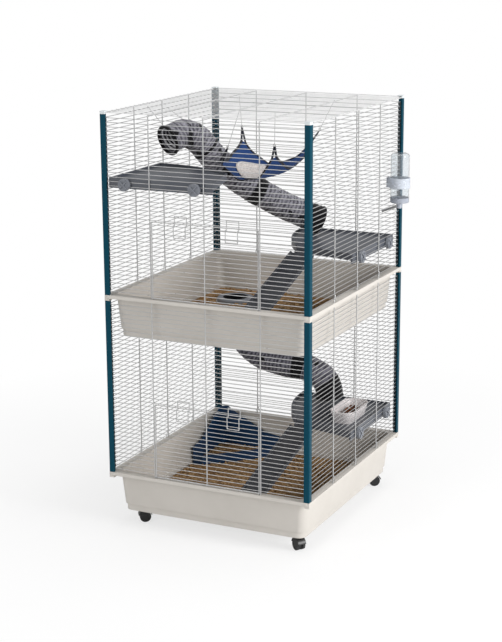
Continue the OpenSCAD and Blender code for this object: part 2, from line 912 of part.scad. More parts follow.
// Half of the bottle's outline, drawn in by d, from its open neck to its crown
function bottle_side(d) = let (
    r = bottle_d/2 - d,
    neck = bottle_neck_d/2 - d,
    shoulder = r - neck,
    crown = 10
  ) concat(
    [[neck, bottle_neck_h]],
    [for (a = [90:-15:0]) [r - shoulder*(1 - cos(a)), bottle_neck_h + shoulder*(1 - sin(a)) + d]],
    [for (a = [0:15:90]) [r - crown*(1 - cos(a)), bottle_h - d - crown*(1 - sin(a))]],
    [[0, bottle_h - d]]
  );

module bottle() {
  neck = bottle_neck_d/2;
  color(c_clear) centred() translate([bottle_x, bottle_y, bottle_z - bottle_neck_h]) difference() {
    rotate_extrude($fn = 96) polygon(concat([[0, 0], [neck, 0]], bottle_side(0)));
    rotate_extrude($fn = 96) {
      polygon(concat([[0, -cut], [neck - bottle_t, -cut]], bottle_side(bottle_t)));
    }
  }
}

// The spout's axis: it passes the grille in the middle of a gap between two wires
spout_x = half_w - row_y;
function spout_at(d) = [spout_x + d*cos(spout_slope), bottle_y, spout_gap_z + d*sin(spout_slope)];

module spout_frame(d) {
  translate(spout_at(d)) rotate([0, 90 - spout_slope, 0]) children();
}

module bottle_cap() {
  neck = bottle_neck_d/2 + nose_gap;
  r = cap_d/2;
  nose = nose_d/2;
  bevel = 3;
  seat = cap_h - bottle_neck_h;
  color(c_black) centred() difference() {
    translate([bottle_x, bottle_y, bottle_z - cap_h]) rotate_extrude($fn = 96) polygon([
      [0, -nose_h], [nose - bevel, -nose_h], [nose, bevel - nose_h], [nose, 0], [r - bevel, 0], [r, bevel],
      [r, cap_h], [neck, cap_h], [neck, seat], [0, seat]
    ]);
    spout_frame(0) cylinder(d = spout_d, h = spout_out, $fn = 48);
  }
}

module bottle_spout() {
  full = spout_in + spout_out;
  color(c_wire) centred() spout_frame(-spout_in) difference() {
    cylinder(d = spout_d, h = full, $fn = 48);
    translate([0, 0, lip_t]) cylinder(d = spout_bore, h = full - 2*lip_t, $fn = 48);
    translate([0, 0, -cut]) cylinder(d = lip_d, h = lip_t + 2*cut, $fn = 48);
  }
}

// The ball rests on the spout's lip
ball_seat = lip_t + sqrt(ball_d*ball_d - lip_d*lip_d)/2 + 0.03;

module spout_ball() {
  color(c_wire) centred() spout_frame(-spout_in) translate([0, 0, ball_seat]) sphere(d = ball_d, $fn = 48);
}

module bottle_clamp() {
  r = bottle_d/2 + run;
  wire_x0 = half_w - panel_face;
  wire_x1 = half_w - panel_out;
  hook_t = 4;
  neck_h = 8;
  neck_z = row_z(floor((clamp_z + clamp_h/2 - mid_z - row_first)/pitch)) + pitch/2 - neck_h/2;
  color(c_bowl) centred() difference() {
    union() {
      translate([bottle_x, bottle_y, clamp_z]) cylinder(r = r + clamp_t, h = clamp_h, $fn = 96);
      translate([wire_x1, bottle_y - clamp_w/2, clamp_z]) cube([bottle_x - wire_x1, clamp_w, clamp_h]);
      translate([wire_x0, bottle_y - clamp_w/2, mid_z + neck_z]) {
        cube([wire_x1 - wire_x0 + 1, clamp_w, neck_h]);
      }
      translate([wire_x0 - hook_t, bottle_y - clamp_w/2, clamp_z]) cube([hook_t, clamp_w, clamp_h]);
    }
    translate([bottle_x, bottle_y, clamp_z - cut]) cylinder(r = r, h = clamp_h + 2*cut, $fn = 96);
  }
}

// ---- Litter pan and bowl ----

module pan_plan(d) {
  polygon([
    [d, -d], [pan_leg - d, -d], [pan_leg - d, -pan_end + 6],
    [pan_end - 6, -pan_leg + d], [d, -pan_leg + d]
  ]);
}

module pan_outline(d) {
  difference() {
    pan_plan(d);
    difference() {
      translate([d - cut, -pan_r]) square([pan_r - d + cut, pan_r + cut]);
      translate([pan_r, -pan_r]) circle(r = pan_r - d, $fn = 64);
    }
  }
}

// The tops of the walls fall from the corner, run level to the ends, then drop to the front
module pan_wall_profile() {
  polygon([
    [-cut, -cut], [pan_leg + cut, -cut], [pan_leg + cut, pan_end_h - 4], [pan_slope_run, pan_end_h + 6],
    [60, pan_h - 22], [pan_r, pan_h], [-cut, pan_h]
  ]);
}

module litter_pan() {
  color(c_pan) centred() translate([pan_x, pan_y, base_floor_z + 0.05]) {
    difference() {
      linear_extrude(height = pan_h) pan_outline(0);
      translate([0, 0, pan_foot + pan_t]) linear_extrude(height = pan_h) pan_outline(pan_t);
      translate([0, 0, -cut]) linear_extrude(height = pan_foot + cut) pan_outline(pan_t);
      difference() {
        translate([-cut, -pan_leg - cut, pan_front_h]) cube([pan_leg + 2*cut, pan_leg + 2*cut, pan_h]);
        rotate([90, 0, 0]) translate([0, 0, -cut]) linear_extrude(height = pan_t + 2*cut) pan_wall_profile();
        rotate([90, 0, -90]) translate([0, 0, -pan_t - cut]) {
          linear_extrude(height = pan_t + 2*cut) pan_wall_profile();
        }
        translate([-cut, -pan_r, 0]) cube([pan_r + cut, pan_r + cut, pan_h + cut]);
      }
    }
  }
}

module bowl() {
  rim_r = 38;
  foot_r = 26;
  color(c_bowl) centred() translate([bowl_x, bowl_y, base_z + shelf_low + plate_top + 0.05]) difference() {
    hull() {
      linear_extrude(height = 1) rounded(bowl_w - 2*bowl_in, bowl_l - 3*bowl_in, foot_r, 32);
      translate([0, 0, bowl_h - 3]) linear_extrude(height = 3) rounded(bowl_w, bowl_l, rim_r, 32);
    }
    hull() {
      translate([0, 0, bowl_t]) linear_extrude(height = 1) {
        rounded(bowl_w - 2*bowl_in - 2*bowl_t, bowl_l - 3*bowl_in - 2*bowl_t, foot_r - bowl_t, 32);
      }
      translate([0, 0, bowl_h]) linear_extrude(height = 1) {
        rounded(bowl_w - 2*bowl_t, bowl_l - 2*bowl_t, rim_r - bowl_t, 32);
      }
    }
  }
}

// ---- Casters ----

module caster_place(sx, sy) {
  centred() stem_place(sx, sy) rotate([0, 0, caster_turn*sx*sy]) children();
}

axle_z = wheel_d/2 - caster_h;

// A swivelling body between two wheels, under a curved hood
module caster_fork(sx, sy) {
  hood_r = wheel_d/2 + hood_gap + hood_t;
  width = cheek_w + 2*wheel_w + 2;
  disc_z = -clear - disc_t;
  web = 12;
  color(c_black) caster_place(sx, sy) difference() {
    union() {
      translate([0, 0, disc_z]) cylinder(d = stem_d, h = stem_h - disc_z, $fn = 48);
      translate([0, 0, disc_z]) cylinder(d = disc_d, h = disc_t, $fn = 64);
      translate([trail, cheek_w/2, axle_z]) rotate([90, 0, 0]) cylinder(d = wheel_d*0.8, h = cheek_w, $fn = 64);
      translate([-web/2, -cheek_w/2, axle_z]) cube([trail + web, cheek_w, disc_z - axle_z + 1]);
      difference() {
        translate([trail, width/2, axle_z]) rotate([90, 0, 0]) cylinder(r = hood_r, h = width, $fn = 64);
        translate([trail, width/2 + cut, axle_z]) rotate([90, 0, 0]) {
          cylinder(r = hood_r - hood_t, h = width + 2*cut, $fn = 64);
        }
        translate([trail - hood_r - cut, -width/2 - cut, axle_z - hood_r - cut]) {
          cube([2*hood_r + 2*cut, width + 2*cut, hood_r + cut + wheel_d/8]);
        }
      }
    }
    translate([trail, cheek_w/2 + cut, axle_z]) rotate([90, 0, 0]) {
      cylinder(d = axle_d + 2*run, h = cheek_w + 2*cut, $fn = 48);
    }
  }
}

module caster_wheel(sx, sy) {
  inner = cheek_w/2 + clear;
  color(c_black) caster_place(sx, sy) translate([trail, 0, axle_z]) rotate([90, 0, 0]) {
    for (z = [inner, -inner - wheel_w]) translate([0, 0, z]) cylinder(d = wheel_d, h = wheel_w, $fn = 64);
    translate([0, 0, -inner - 1]) cylinder(d = axle_d, h = 2*inner + 2, $fn = 48);
  }
}

// ---- Nodes ----

base_tray();
mid_tray();
floor_hole_ring();
post(-1, -1, base_z);  // lower_post_fl
post(1, -1, base_z);  // lower_post_fr
post(-1, 1, base_z);  // lower_post_rl
post(1, 1, base_z);  // lower_post_rr
post(-1, -1, mid_z);  // upper_post_fl
post(1, -1, mid_z);  // upper_post_fr
post(-1, 1, mid_z);  // upper_post_rl
post(1, 1, mid_z);  // upper_post_rr
post_caps();
centred() on_front(base_z) front_panel(cage_w, lower_top);  // lower_front_panel
centred() on_rear(base_z) closed_panel(cage_w, lower_top);  // lower_rear_panel
centred() on_left(base_z) closed_panel(cage_d, lower_top);  // lower_left_panel
centred() on_right(base_z) closed_panel(cage_d, lower_top);  // lower_right_panel
centred() on_front(mid_z) front_panel(cage_w, post_h);  // upper_front_panel
centred() on_rear(mid_z) closed_panel(cage_w, post_h);  // upper_rear_panel
centred() on_left(mid_z) closed_panel(cage_d, post_h);  // upper_left_panel
centred() on_right(mid_z) closed_panel(cage_d, post_h);  // upper_right_panel
roof_grille();
panel_clips();
centred() on_front(base_z) door();  // lower_door
centred() on_front(mid_z) door();  // upper_door
centred() on_front(base_z) latch(latch_xs[0]);  // lower_latch_left
centred() on_front(base_z) latch(latch_xs[1]);  // lower_latch_right
centred() on_front(mid_z) latch(latch_xs[0]);  // upper_latch_left
centred() on_front(mid_z) latch(latch_xs[1]);  // upper_latch_right
color(c_shelf) centred() high_shelf_place() shelf();  // high_shelf
centred() low_shelf_place(mid_z) low_shelf();  // upper_shelf
centred() low_shelf_place(base_z) low_shelf();  // lower_shelf
centred() high_shelf_place() knob(-1);  // high_knob_left
centred() high_shelf_place() knob(1);  // high_knob_right
centred() low_shelf_place(mid_z) knob(1);  // upper_knob_front
centred() low_shelf_place(mid_z) knob(-1);  // upper_knob_rear
centred() low_shelf_place(base_z) knob(1);  // lower_knob_front
centred() low_shelf_place(base_z) knob(-1);  // lower_knob_rear
ramp_on_shelf(mid_z);  // upper_ramp
ramp_on_shelf(base_z);  // lower_ramp
upper_tunnel();
lower_tunnel();
hangers();
hammock();
hammock_lining();
bottle();
bottle_cap();
bottle_spout();
spout_ball();
bottle_clamp();
litter_pan();
bowl();
caster_fork(-1, -1);  // caster_fork_fl
caster_fork(1, -1);  // caster_fork_fr
caster_fork(-1, 1);  // caster_fork_rl
caster_fork(1, 1);  // caster_fork_rr
caster_wheel(-1, -1);  // caster_wheel_fl
caster_wheel(1, -1);  // caster_wheel_fr
caster_wheel(-1, 1);  // caster_wheel_rl
caster_wheel(1, 1);  // caster_wheel_rr
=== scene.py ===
import json
import math
import random

import bmesh
import bpy
from mathutils import Matrix, Vector, noise


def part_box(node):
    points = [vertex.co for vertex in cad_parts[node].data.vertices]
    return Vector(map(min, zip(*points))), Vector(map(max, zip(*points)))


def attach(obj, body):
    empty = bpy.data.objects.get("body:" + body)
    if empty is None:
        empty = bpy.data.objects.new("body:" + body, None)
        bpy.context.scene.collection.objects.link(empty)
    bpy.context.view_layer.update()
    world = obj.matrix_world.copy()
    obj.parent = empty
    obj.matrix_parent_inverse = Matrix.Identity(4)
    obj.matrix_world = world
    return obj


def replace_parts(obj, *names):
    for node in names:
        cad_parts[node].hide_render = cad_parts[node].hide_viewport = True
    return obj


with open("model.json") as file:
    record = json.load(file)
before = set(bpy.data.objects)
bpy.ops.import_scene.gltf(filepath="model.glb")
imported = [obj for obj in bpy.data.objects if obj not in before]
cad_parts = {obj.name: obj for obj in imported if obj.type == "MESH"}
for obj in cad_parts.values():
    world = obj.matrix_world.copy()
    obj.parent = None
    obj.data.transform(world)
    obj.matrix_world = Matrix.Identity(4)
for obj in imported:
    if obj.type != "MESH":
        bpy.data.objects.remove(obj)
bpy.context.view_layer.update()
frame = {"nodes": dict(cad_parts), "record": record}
random.seed(20)

MM = 0.001
TURN = 2 * math.pi
# The cage's own plan centre, as seen from the middle of the whole plan
CAGE_ORIGIN = Vector((-32.875, 4.0, 0.0)) * MM
BASE_RIM, MID_RIM, ROOF = 198.0, 828.0, 1438.0
BASE_FLOOR, MID_FLOOR = 56.0, 686.0
SHELF_LOW = 110.0


def at(x, y, z):
    """A place on the cage in millimetres, as a point of the scene."""
    return CAGE_ORIGIN + Vector((x, y, z)) * MM


def tint(red, green, blue):
    """A colour written 0 to 255, as the linear colour a shader takes."""
    def linear(c):
        c /= 255
        return c / 12.92 if c <= 0.04045 else ((c + 0.055) / 1.055) ** 2.4
    return (linear(red), linear(green), linear(blue), 1.0)


# ---- Shader groups ----

def feed(tree, node, inputs):
    """Sets or joins the inputs of a node."""
    for key, value in inputs.items():
        if isinstance(value, bpy.types.NodeSocket):
            tree.links.new(value, node.inputs[key])
        else:
            node.inputs[key].default_value = value


def fill(tree, node, **inputs):
    """The same with the inputs as keywords, in which an underscore stands for a space."""
    feed(tree, node, {key.replace("_", " "): value for key, value in inputs.items()})


def add(tree, kind, inputs={}, **settings):
    """One shader node, with its settings made and its inputs set or joined."""
    node = tree.nodes.new("ShaderNode" + kind)
    for key, value in settings.items():
        setattr(node, key, value)
    feed(tree, node, inputs)
    return node


def blend_colours(tree, share, low, high, kind="MIX"):
    """A colour between two others. 0 is the share, 6 and 7 are the colours."""
    return add(tree, "Mix", {0: share, 6: low, 7: high}, data_type="RGBA", blend_type=kind).outputs[2]


def ramp(tree, value, *stops):
    """A colour ramp from (place, colour) pairs."""
    node = add(tree, "ValToRGB", {"Fac": value})
    bar = node.color_ramp
    while len(bar.elements) < len(stops):
        bar.elements.new(0.5)
    for element, (place, colour) in zip(bar.elements, stops):
        element.position = place
        element.color = colour
    return node.outputs["Color"]


def grey(level):
    return (level, level, level, 1.0)


def step(tree, value, low, high):
    """0 up to one value and 1 from another, with a slope between them."""
    return ramp(tree, value, (low, grey(0)), (high, grey(1)))


def math_node(tree, operation, first, second=0.0, clamp=False):
    return add(tree, "Math", {0: first, 1: second}, operation=operation, use_clamp=clamp).outputs[0]


def times(tree, first, second):
    return math_node(tree, "MULTIPLY", first, second)


def plus(tree, first, second, clamp=False):
    return math_node(tree, "ADD", first, second, clamp)


def cloudy(tree, place, scale, detail, roughness=0.5):
    """Noise from 0 to 1 that changes over a place."""
    return add(tree, "TexNoise", {"Vector": place, "Scale": scale, "Detail": detail,
                                  "Roughness": roughness}).outputs["Fac"]


def drawn(tree, place, rotation, scale):
    """A place turned and scaled unevenly, for streaks."""
    return add(tree, "Mapping", {"Vector": place, "Rotation": rotation, "Scale": scale}).outputs[0]


def spread(tree, value, low, high):
    """A 0 to 1 value spread between two numbers."""
    return add(tree, "MapRange", {"Value": value, "To Min": low, "To Max": high}).outputs["Result"]


def group(name, takes, gives):
    """An empty shader group with the named sockets, what it takes in and its output node."""
    tree = bpy.data.node_groups.new(name, "ShaderNodeTree")
    kinds = {"colour": "NodeSocketColor", "value": "NodeSocketFloat", "vector": "NodeSocketVector"}
    for side, sockets in (("INPUT", takes), ("OUTPUT", gives)):
        for label, kind in sockets:
            tree.interface.new_socket(label, in_out=side, socket_type=kinds[kind])
    return tree, tree.nodes.new("NodeGroupInput").outputs, tree.nodes.new("NodeGroupOutput")


def bump(tree, height, distance, strength=1.0):
    inputs = {"Height": height, "Distance": distance, "Strength": strength}
    return add(tree, "Bump", inputs).outputs["Normal"]


def moulded_group():
    """Injection-moulded plastic: a faint flow mottle, fine spark texture, dust and rubbed scratches."""
    tree, take, out = group(
        "moulded_surface",
        [("Place", "vector"), ("Colour", "colour"), ("Gloss", "value"), ("Grain", "value"),
         ("Dust", "value")],
        [("Colour", "colour"), ("Roughness", "value"), ("Normal", "vector")],
    )
    place = take["Place"]
    flow = cloudy(tree, place, 9.0, 4.0, 0.55)
    spark = cloudy(tree, place, 1400.0, 2.0)
    rub = cloudy(tree, drawn(tree, place, (0.4, 0.9, 0.5), (18, 420, 260)), 1.0, 3.0)
    scratch = step(tree, rub, 0.66, 0.74)
    dust = step(tree, flow, 0.40, 0.72)
    toned = blend_colours(tree, spread(tree, flow, 0.0, 0.16), take["Colour"], grey(0.02))
    dusted = blend_colours(tree, times(tree, dust, take["Dust"]), toned, tint(205, 198, 186))
    worn = blend_colours(tree, times(tree, scratch, take["Dust"]), dusted, grey(0.85))
    rough = plus(tree, take["Gloss"], spread(tree, flow, -0.06, 0.10))
    rough = plus(tree, rough, times(tree, scratch, 0.12), clamp=True)
    height = plus(tree, times(tree, spark, take["Grain"]), times(tree, scratch, -0.25))
    fill(tree, out, Colour=worn, Roughness=rough, Normal=bump(tree, height, 0.00012, 0.7))
    return tree


def plated_group():
    """Drawn steel wire with a zinc skin: soft streaks, small dull spots and a faint ripple."""
    tree, take, out = group(
        "plated_wire_surface", [("Place", "vector"), ("Colour", "colour")],
        [("Colour", "colour"), ("Roughness", "value"), ("Normal", "vector")],
    )
    place = take["Place"]
    cloud = cloudy(tree, place, 60.0, 4.0)
    spots = add(tree, "TexVoronoi", {"Vector": place, "Scale": 420.0}).outputs["Distance"]
    dull = ramp(tree, spots, (0.10, grey(1)), (0.34, grey(0)))
    toned = blend_colours(tree, spread(tree, cloud, 0.0, 0.35), take["Colour"], grey(0.36))
    spotted = blend_colours(tree, times(tree, dull, 0.25), toned, grey(0.30))
    rough = plus(tree, spread(tree, cloud, 0.22, 0.40), times(tree, dull, 0.18))
    fill(tree, out, Colour=spotted, Roughness=rough, Normal=bump(tree, cloud, 0.0002, 0.5))
    return tree


def pile_group():
    """Short crushed pile: tufts of two tones lying in rows, with darker gaps between them, partly the pile's
    own dark tone and partly painted shade.
    """
    tree, take, out = group(
        "pile_surface",
        [("Place", "vector"), ("Along", "value"), ("Light", "colour"), ("Dark", "colour"), ("Row", "value")],
        [("Colour", "colour"), ("Normal", "vector")],
    )
    place = take["Place"]
    warp = cloudy(tree, place, 70.0, 3.0)
    rows = plus(tree, math_node(tree, "DIVIDE", take["Along"], take["Row"]), spread(tree, warp, -0.7, 0.7))
    wave = math_node(tree, "SINE", times(tree, rows, TURN))
    wave = spread(tree, plus(tree, times(tree, wave, 0.5), 0.5), 0.0, 1.0)
    tufts = add(tree, "TexVoronoi", {"Vector": place, "Scale": 150.0, "Randomness": 1.0})
    clump = cloudy(tree, place, 44.0, 5.0, 0.7)
    hair = cloudy(tree, place, 900.0, 3.0, 0.7)
    tuft = math_node(tree, "SUBTRACT", 1.0, tufts.outputs["Distance"])
    # Low tone in the gaps between rows and tufts picks the dark colour: partly the pile's own dark, partly
    # painted shade.
    tone = plus(tree, times(tree, wave, 0.30), times(tree, clump, 0.95))
    tone = plus(tree, tone, times(tree, tuft, 0.20))
    mask = step(tree, tone, 0.50, 0.98)
    colour = blend_colours(tree, mask, take["Dark"], take["Light"])
    colour = blend_colours(tree, spread(tree, hair, 0.0, 0.5), colour, grey(0.01), "MULTIPLY")
    height = plus(tree, times(tree, tone, 0.9), times(tree, hair, 0.35))
    fill(tree, out, Colour=colour, Normal=bump(tree, height, 0.0022, 0.85))
    return tree


def weave_group():
    """Plain weave on a piece's own UV map, in metres: threads over and under with painted shade where they
    dip, slubs and a faded tone.
    """
    tree, take, out = group(
        "weave_surface", [("Cloth", "vector"), ("Colour", "colour"), ("Count", "value")],
        [("Colour", "colour"), ("Normal", "vector")],
    )
    cloth = take["Cloth"]
    parts = add(tree, "SeparateXYZ", {"Vector": cloth})

    def threads(socket):
        return math_node(tree, "SINE", times(tree, times(tree, socket, take["Count"]), TURN))

    over = times(tree, threads(parts.outputs[0]), threads(parts.outputs[1]))
    over = plus(tree, times(tree, over, 0.5), 0.5)
    slub = cloudy(tree, cloth, 260.0, 3.0)
    fade = cloudy(tree, cloth, 14.0, 4.0, 0.6)
    # Where the threads dip under, the colour goes darker: painted shade.
    colour = blend_colours(tree, spread(tree, over, 0.30, 0.0), take["Colour"], grey(0.0))
    colour = blend_colours(tree, spread(tree, fade, 0.0, 0.05), colour, tint(70, 110, 180))
    colour = blend_colours(tree, spread(tree, slub, 0.0, 0.25), colour, grey(0.01))
    height = plus(tree, over, times(tree, slub, 0.7))
    fill(tree, out, Colour=colour, Normal=bump(tree, height, 0.0004, 0.8))
    return tree


def fleece_group():
    """Curly fleece: small knots of pile with shadow between them."""
    tree, take, out = group(
        "fleece_surface", [("Place", "vector"), ("Light", "colour"), ("Dark", "colour")],
        [("Colour", "colour"), ("Normal", "vector")],
    )
    place = take["Place"]
    warp = add(tree, "TexNoise", {"Vector": place, "Scale": 120.0, "Detail": 2.0}).outputs["Color"]
    shift = add(tree, "VectorMath", {0: warp, "Scale": 0.006}, operation="SCALE").outputs[0]
    moved = add(tree, "VectorMath", {0: place, 1: shift}, operation="ADD").outputs[0]
    knots = add(tree, "TexVoronoi", {"Vector": moved, "Scale": 190.0}).outputs["Distance"]
    hair = cloudy(tree, place, 1100.0, 2.0)
    shade = step(tree, knots, 0.12, 0.70)
    colour = blend_colours(tree, shade, take["Light"], take["Dark"])
    height = math_node(tree, "SUBTRACT", times(tree, hair, 0.3), knots)
    fill(tree, out, Colour=colour, Normal=bump(tree, height, 0.0018, 0.8))
    return tree


MOULDED = moulded_group()
PLATED = plated_group()
PILE = pile_group()
WEAVE = weave_group()
FLEECE = fleece_group()


# ---- Materials ----

def finish_named(name, **constants):
    """A material with one Principled shader, whose plain numbers are set on its own sockets."""
    material = bpy.data.materials.new(name)
    material.use_nodes = True
    tree = material.node_tree
    shader = tree.nodes["Principled BSDF"]
    fill(tree, shader, **constants)
    return material, tree, shader, tree.nodes.new("ShaderNodeTexCoord").outputs


def use_group(tree, which, inputs):
    node = tree.nodes.new("ShaderNodeGroup")
    node.node_tree = which
    feed(tree, node, inputs)
    return node.outputs


def surfaced(name, which, inputs, **constants):
    """A material that takes all that a shader group makes. An input may name a kind of coordinates."""
    material, tree, shader, place = finish_named(name, **constants)
    made = use_group(tree, which, {key: place[value] if isinstance(value, str) else value
                                   for key, value in inputs.items()})
    for label, socket in (("Colour", "Base Color"), ("Roughness", "Roughness"), ("Normal", "Normal")):
        if label in made:
            tree.links.new(made[label], shader.inputs[socket])
    return material


def moulded(name, colour, gloss=0.42, grain=0.5, round_edge=0.0012, dust=0.02, **constants):
    """Moulded plastic in one colour, its edges caught by light as if rounded."""
    material, tree, shader, place = finish_named(name, **constants)
    made = use_group(tree, MOULDED, {"Place": place["Object"], "Colour": colour, "Gloss": gloss,
                                     "Grain": grain, "Dust": dust})
    edge = add(tree, "Bevel", {"Radius": round_edge, "Normal": made["Normal"]}, samples=4)
    fill(tree, shader, Base_Color=made["Colour"], Roughness=made["Roughness"], Normal=edge.outputs["Normal"])
    return material


def plated(name, colour, metallic=0.9):
    return surfaced(name, PLATED, {"Place": "Object", "Colour": colour}, Metallic=metallic)


def pile(name, light, dark, row, blotch=None):
    """Crushed pile on a tube whose UV map runs along it in metres."""
    material, tree, shader, place = finish_named(
        name, Roughness=0.92, Sheen_Weight=0.22, Sheen_Roughness=0.45, Specular_IOR_Level=0.15)
    along = add(tree, "SeparateXYZ", {"Vector": place["UV"]}).outputs[1]
    made = use_group(tree, PILE, {"Place": place["Object"], "Along": along, "Light": light, "Dark": dark,
                                  "Row": row})
    colour = made["Colour"]
    if blotch:
        patches = cloudy(tree, place["Object"], 26.0, 1.5)
        edge = cloudy(tree, place["Object"], 160.0, 2.0)
        near = ramp(tree, math_node(tree, "DIVIDE", along, blotch),
                    (0.0, grey(0)), (0.2, grey(1)), (0.55, grey(1)), (1.0, grey(0)))
        score = plus(tree, patches, times(tree, edge, 0.16))
        score = plus(tree, score, times(tree, near, 0.075))
        mask = step(tree, score, 0.735, 0.765)
        colour = blend_colours(tree, mask, colour, tint(18, 18, 22))
    fill(tree, shader, Base_Color=colour, Normal=made["Normal"])
    return material


def woven(name, colour, count, **constants):
    return surfaced(name, WEAVE, {"Cloth": "UV", "Colour": colour, "Count": count}, **constants)


def shavings(name, pale, deep):
    """Softwood shavings: each with a tone of its own, grain along it and darker bruises."""
    material, tree, shader, place = finish_named(name, Roughness=0.85, Specular_IOR_Level=0.2)
    tone = add(tree, "Attribute", attribute_name="chip_tone").outputs["Fac"]
    patch = add(tree, "TexVoronoi", {"Vector": place["Object"], "Scale": 210.0}).outputs["Color"]
    cell = add(tree, "SeparateXYZ", {"Vector": patch}).outputs[0]
    grain = cloudy(tree, drawn(tree, place["Object"], (0.2, 0.3, 0.7), (260, 1900, 900)), 1.0, 3.0)
    mixed = plus(tree, times(tree, tone, 0.6), times(tree, cell, 0.4))
    colour = blend_colours(tree, mixed, deep, pale)
    colour = blend_colours(tree, spread(tree, grain, 0.0, 0.35), colour, tint(128, 96, 62))
    fill(tree, shader, Base_Color=colour, Normal=bump(tree, grain, 0.0005, 0.8))
    return material


# The colour of each moulded plastic, and how its look differs from the plain one
PLASTICS = {
    "tray": ((206, 201, 194), {"gloss": 0.5, "grain": 0.6, "dust": 0.06}),
    "cap": ((222, 228, 230), {"gloss": 0.40, "grain": 0.4, "round_edge": 0.001}),
    "post": ((0, 64, 82), {"gloss": 0.36, "grain": 0.2, "round_edge": 0.0015, "dust": 0.0,
                           "Specular_IOR_Level": 0.08}),
    "comb": ((12, 30, 38), {"gloss": 0.4, "grain": 0.4, "round_edge": 0.0005}),
    "ramp": ((60, 62, 68), {"gloss": 0.5, "grain": 1.1}),
    "ring": ((128, 132, 140), {"gloss": 0.4}),
    "shelf": ((76, 80, 89), {"gloss": 0.32, "grain": 1.1, "dust": 0.04}),
    "pan": ((14, 60, 102), {"gloss": 0.36}),
    "bowl": ((222, 216, 216), {"gloss": 0.34, "grain": 0.3}),
    "clamp": ((224, 230, 240), {"gloss": 0.25, "grain": 0.2, "round_edge": 0.0008,
                                "Transmission_Weight": 0.35, "IOR": 1.45}),
    "caster": ((26, 26, 28), {"gloss": 0.36, "round_edge": 0.001}),
    "bottle_cap": ((196, 202, 214), {"gloss": 0.25, "grain": 0.3, "round_edge": 0.001,
                                     "Transmission_Weight": 0.4, "IOR": 1.45}),
    "knob": ((142, 146, 154), {"gloss": 0.2, "grain": 0.2, "round_edge": 0.001,
                               "Transmission_Weight": 0.25, "IOR": 1.46}),
}
plastic = {name: moulded(name + "_plastic", tint(*colour), **look)
           for name, (colour, look) in PLASTICS.items()}
wire_zinc = plated("wire_zinc", grey(0.52), metallic=0.6)
# The roof's wires take a paler copy of the same plated finish: painted light, as if lit from above.
roof_zinc_painted_light = plated("roof_zinc_painted_light", grey(0.74), metallic=0.35)
spout_steel = plated("spout_steel", grey(0.30), metallic=1.0)


def clear_plastic():
    """Thin clear bottle plastic with a faint haze and fine moulding lines."""
    material, tree, shader, place = finish_named(
        "bottle_plastic", Transmission_Weight=0.96, IOR=1.38, Specular_IOR_Level=0.6)
    haze = cloudy(tree, place["Object"], 55.0, 4.0)
    colour = blend_colours(tree, spread(tree, haze, 0.0, 0.5), tint(250, 252, 253), tint(230, 236, 241))
    fill(tree, shader, Base_Color=colour, Roughness=spread(tree, haze, 0.03, 0.16),
         Normal=bump(tree, haze, 0.0004, 0.5))
    return material


def kibble_look():
    material, tree, shader, place = finish_named("kibble", Roughness=0.7, Specular_IOR_Level=0.3)
    tone = add(tree, "Attribute", attribute_name="chip_tone").outputs["Fac"]
    pores = cloudy(tree, place["Object"], 520.0, 4.0)
    colour = blend_colours(tree, tone, tint(92, 50, 30), tint(150, 96, 58))
    colour = blend_colours(tree, spread(tree, pores, 0.0, 0.7), colour, tint(50, 26, 16))
    fill(tree, shader, Base_Color=colour, Normal=bump(tree, pores, 0.0008, 1.0))
    return material


bottle_plastic = clear_plastic()
kibble_crust = kibble_look()
tunnel_pile = pile("tunnel_pile", tint(164, 163, 172), tint(74, 73, 81), 0.014, blotch=0.30)
lower_pile = pile("lower_tunnel_pile", tint(140, 139, 150), tint(62, 61, 70), 0.014, blotch=0.06)
# The spring's own pale cover, brightened to near white: its light grey plus painted light inside the tunnel.
spring_cover_painted_light = pile("spring_cover_painted_light", tint(250, 249, 252), tint(232, 231, 236), 0.006)
# Black pile for the bands, cuffs and mouth rolls, and for the sleeves of painted shade in the holes.
band_and_shade_pile = pile("band_and_shade_pile", tint(24, 24, 28), tint(6, 6, 8), 0.005)
hammock_cotton = woven("hammock_cotton", tint(14, 60, 120), 900.0, Roughness=0.86, Sheen_Weight=0.05,
                       Specular_IOR_Level=0.2)
black_webbing = woven("black_webbing", tint(20, 20, 24), 520.0, Roughness=0.8, Sheen_Weight=0.1,
                      Specular_IOR_Level=0.25)
wood_shavings = shavings("wood_shavings", tint(200, 168, 124), tint(150, 116, 80))
cream_fleece = surfaced(
    "cream_fleece", FLEECE, {"Place": "Object", "Light": tint(226, 220, 216), "Dark": tint(172, 164, 160)},
    Roughness=0.95, Sheen_Weight=0.3, Sheen_Roughness=0.5, Specular_IOR_Level=0.1)

# Each CAD node keeps its shape and takes the finish of its slot, or one of its own
SLOT_FINISH = {
    **plastic, "wire": wire_zinc, "plush": tunnel_pile, "cloth": hammock_cotton, "lining": cream_fleece,
    "clear": bottle_plastic, "bottle_black": plastic["bottle_cap"], "steel": spout_steel,
}
NODE_FINISH = {
    # The roof grille takes the paler copy of the wire finish: painted light.
    "roof_grille": roof_zinc_painted_light, "floor_hole_ring": plastic["ring"],
    "upper_ramp": plastic["ramp"], "lower_ramp": plastic["ramp"],
}
for entry in frame["record"]["subparts"]:
    for material_slot in frame["nodes"][entry["node"]].material_slots:
        material_slot.material = NODE_FINISH.get(entry["node"], SLOT_FINISH[entry["material_slot"]])


# ---- Making pieces ----

def plain_mesh(name, work):
    """The mesh that a finished bmesh makes."""
    mesh = bpy.data.meshes.new(name)
    work.to_mesh(mesh)
    work.free()
    return mesh


def stand(name, data):
    """An object of the scene that shows a mesh, a lamp or a camera."""
    made = bpy.data.objects.new(name, data)
    bpy.context.scene.collection.objects.link(made)
    return made


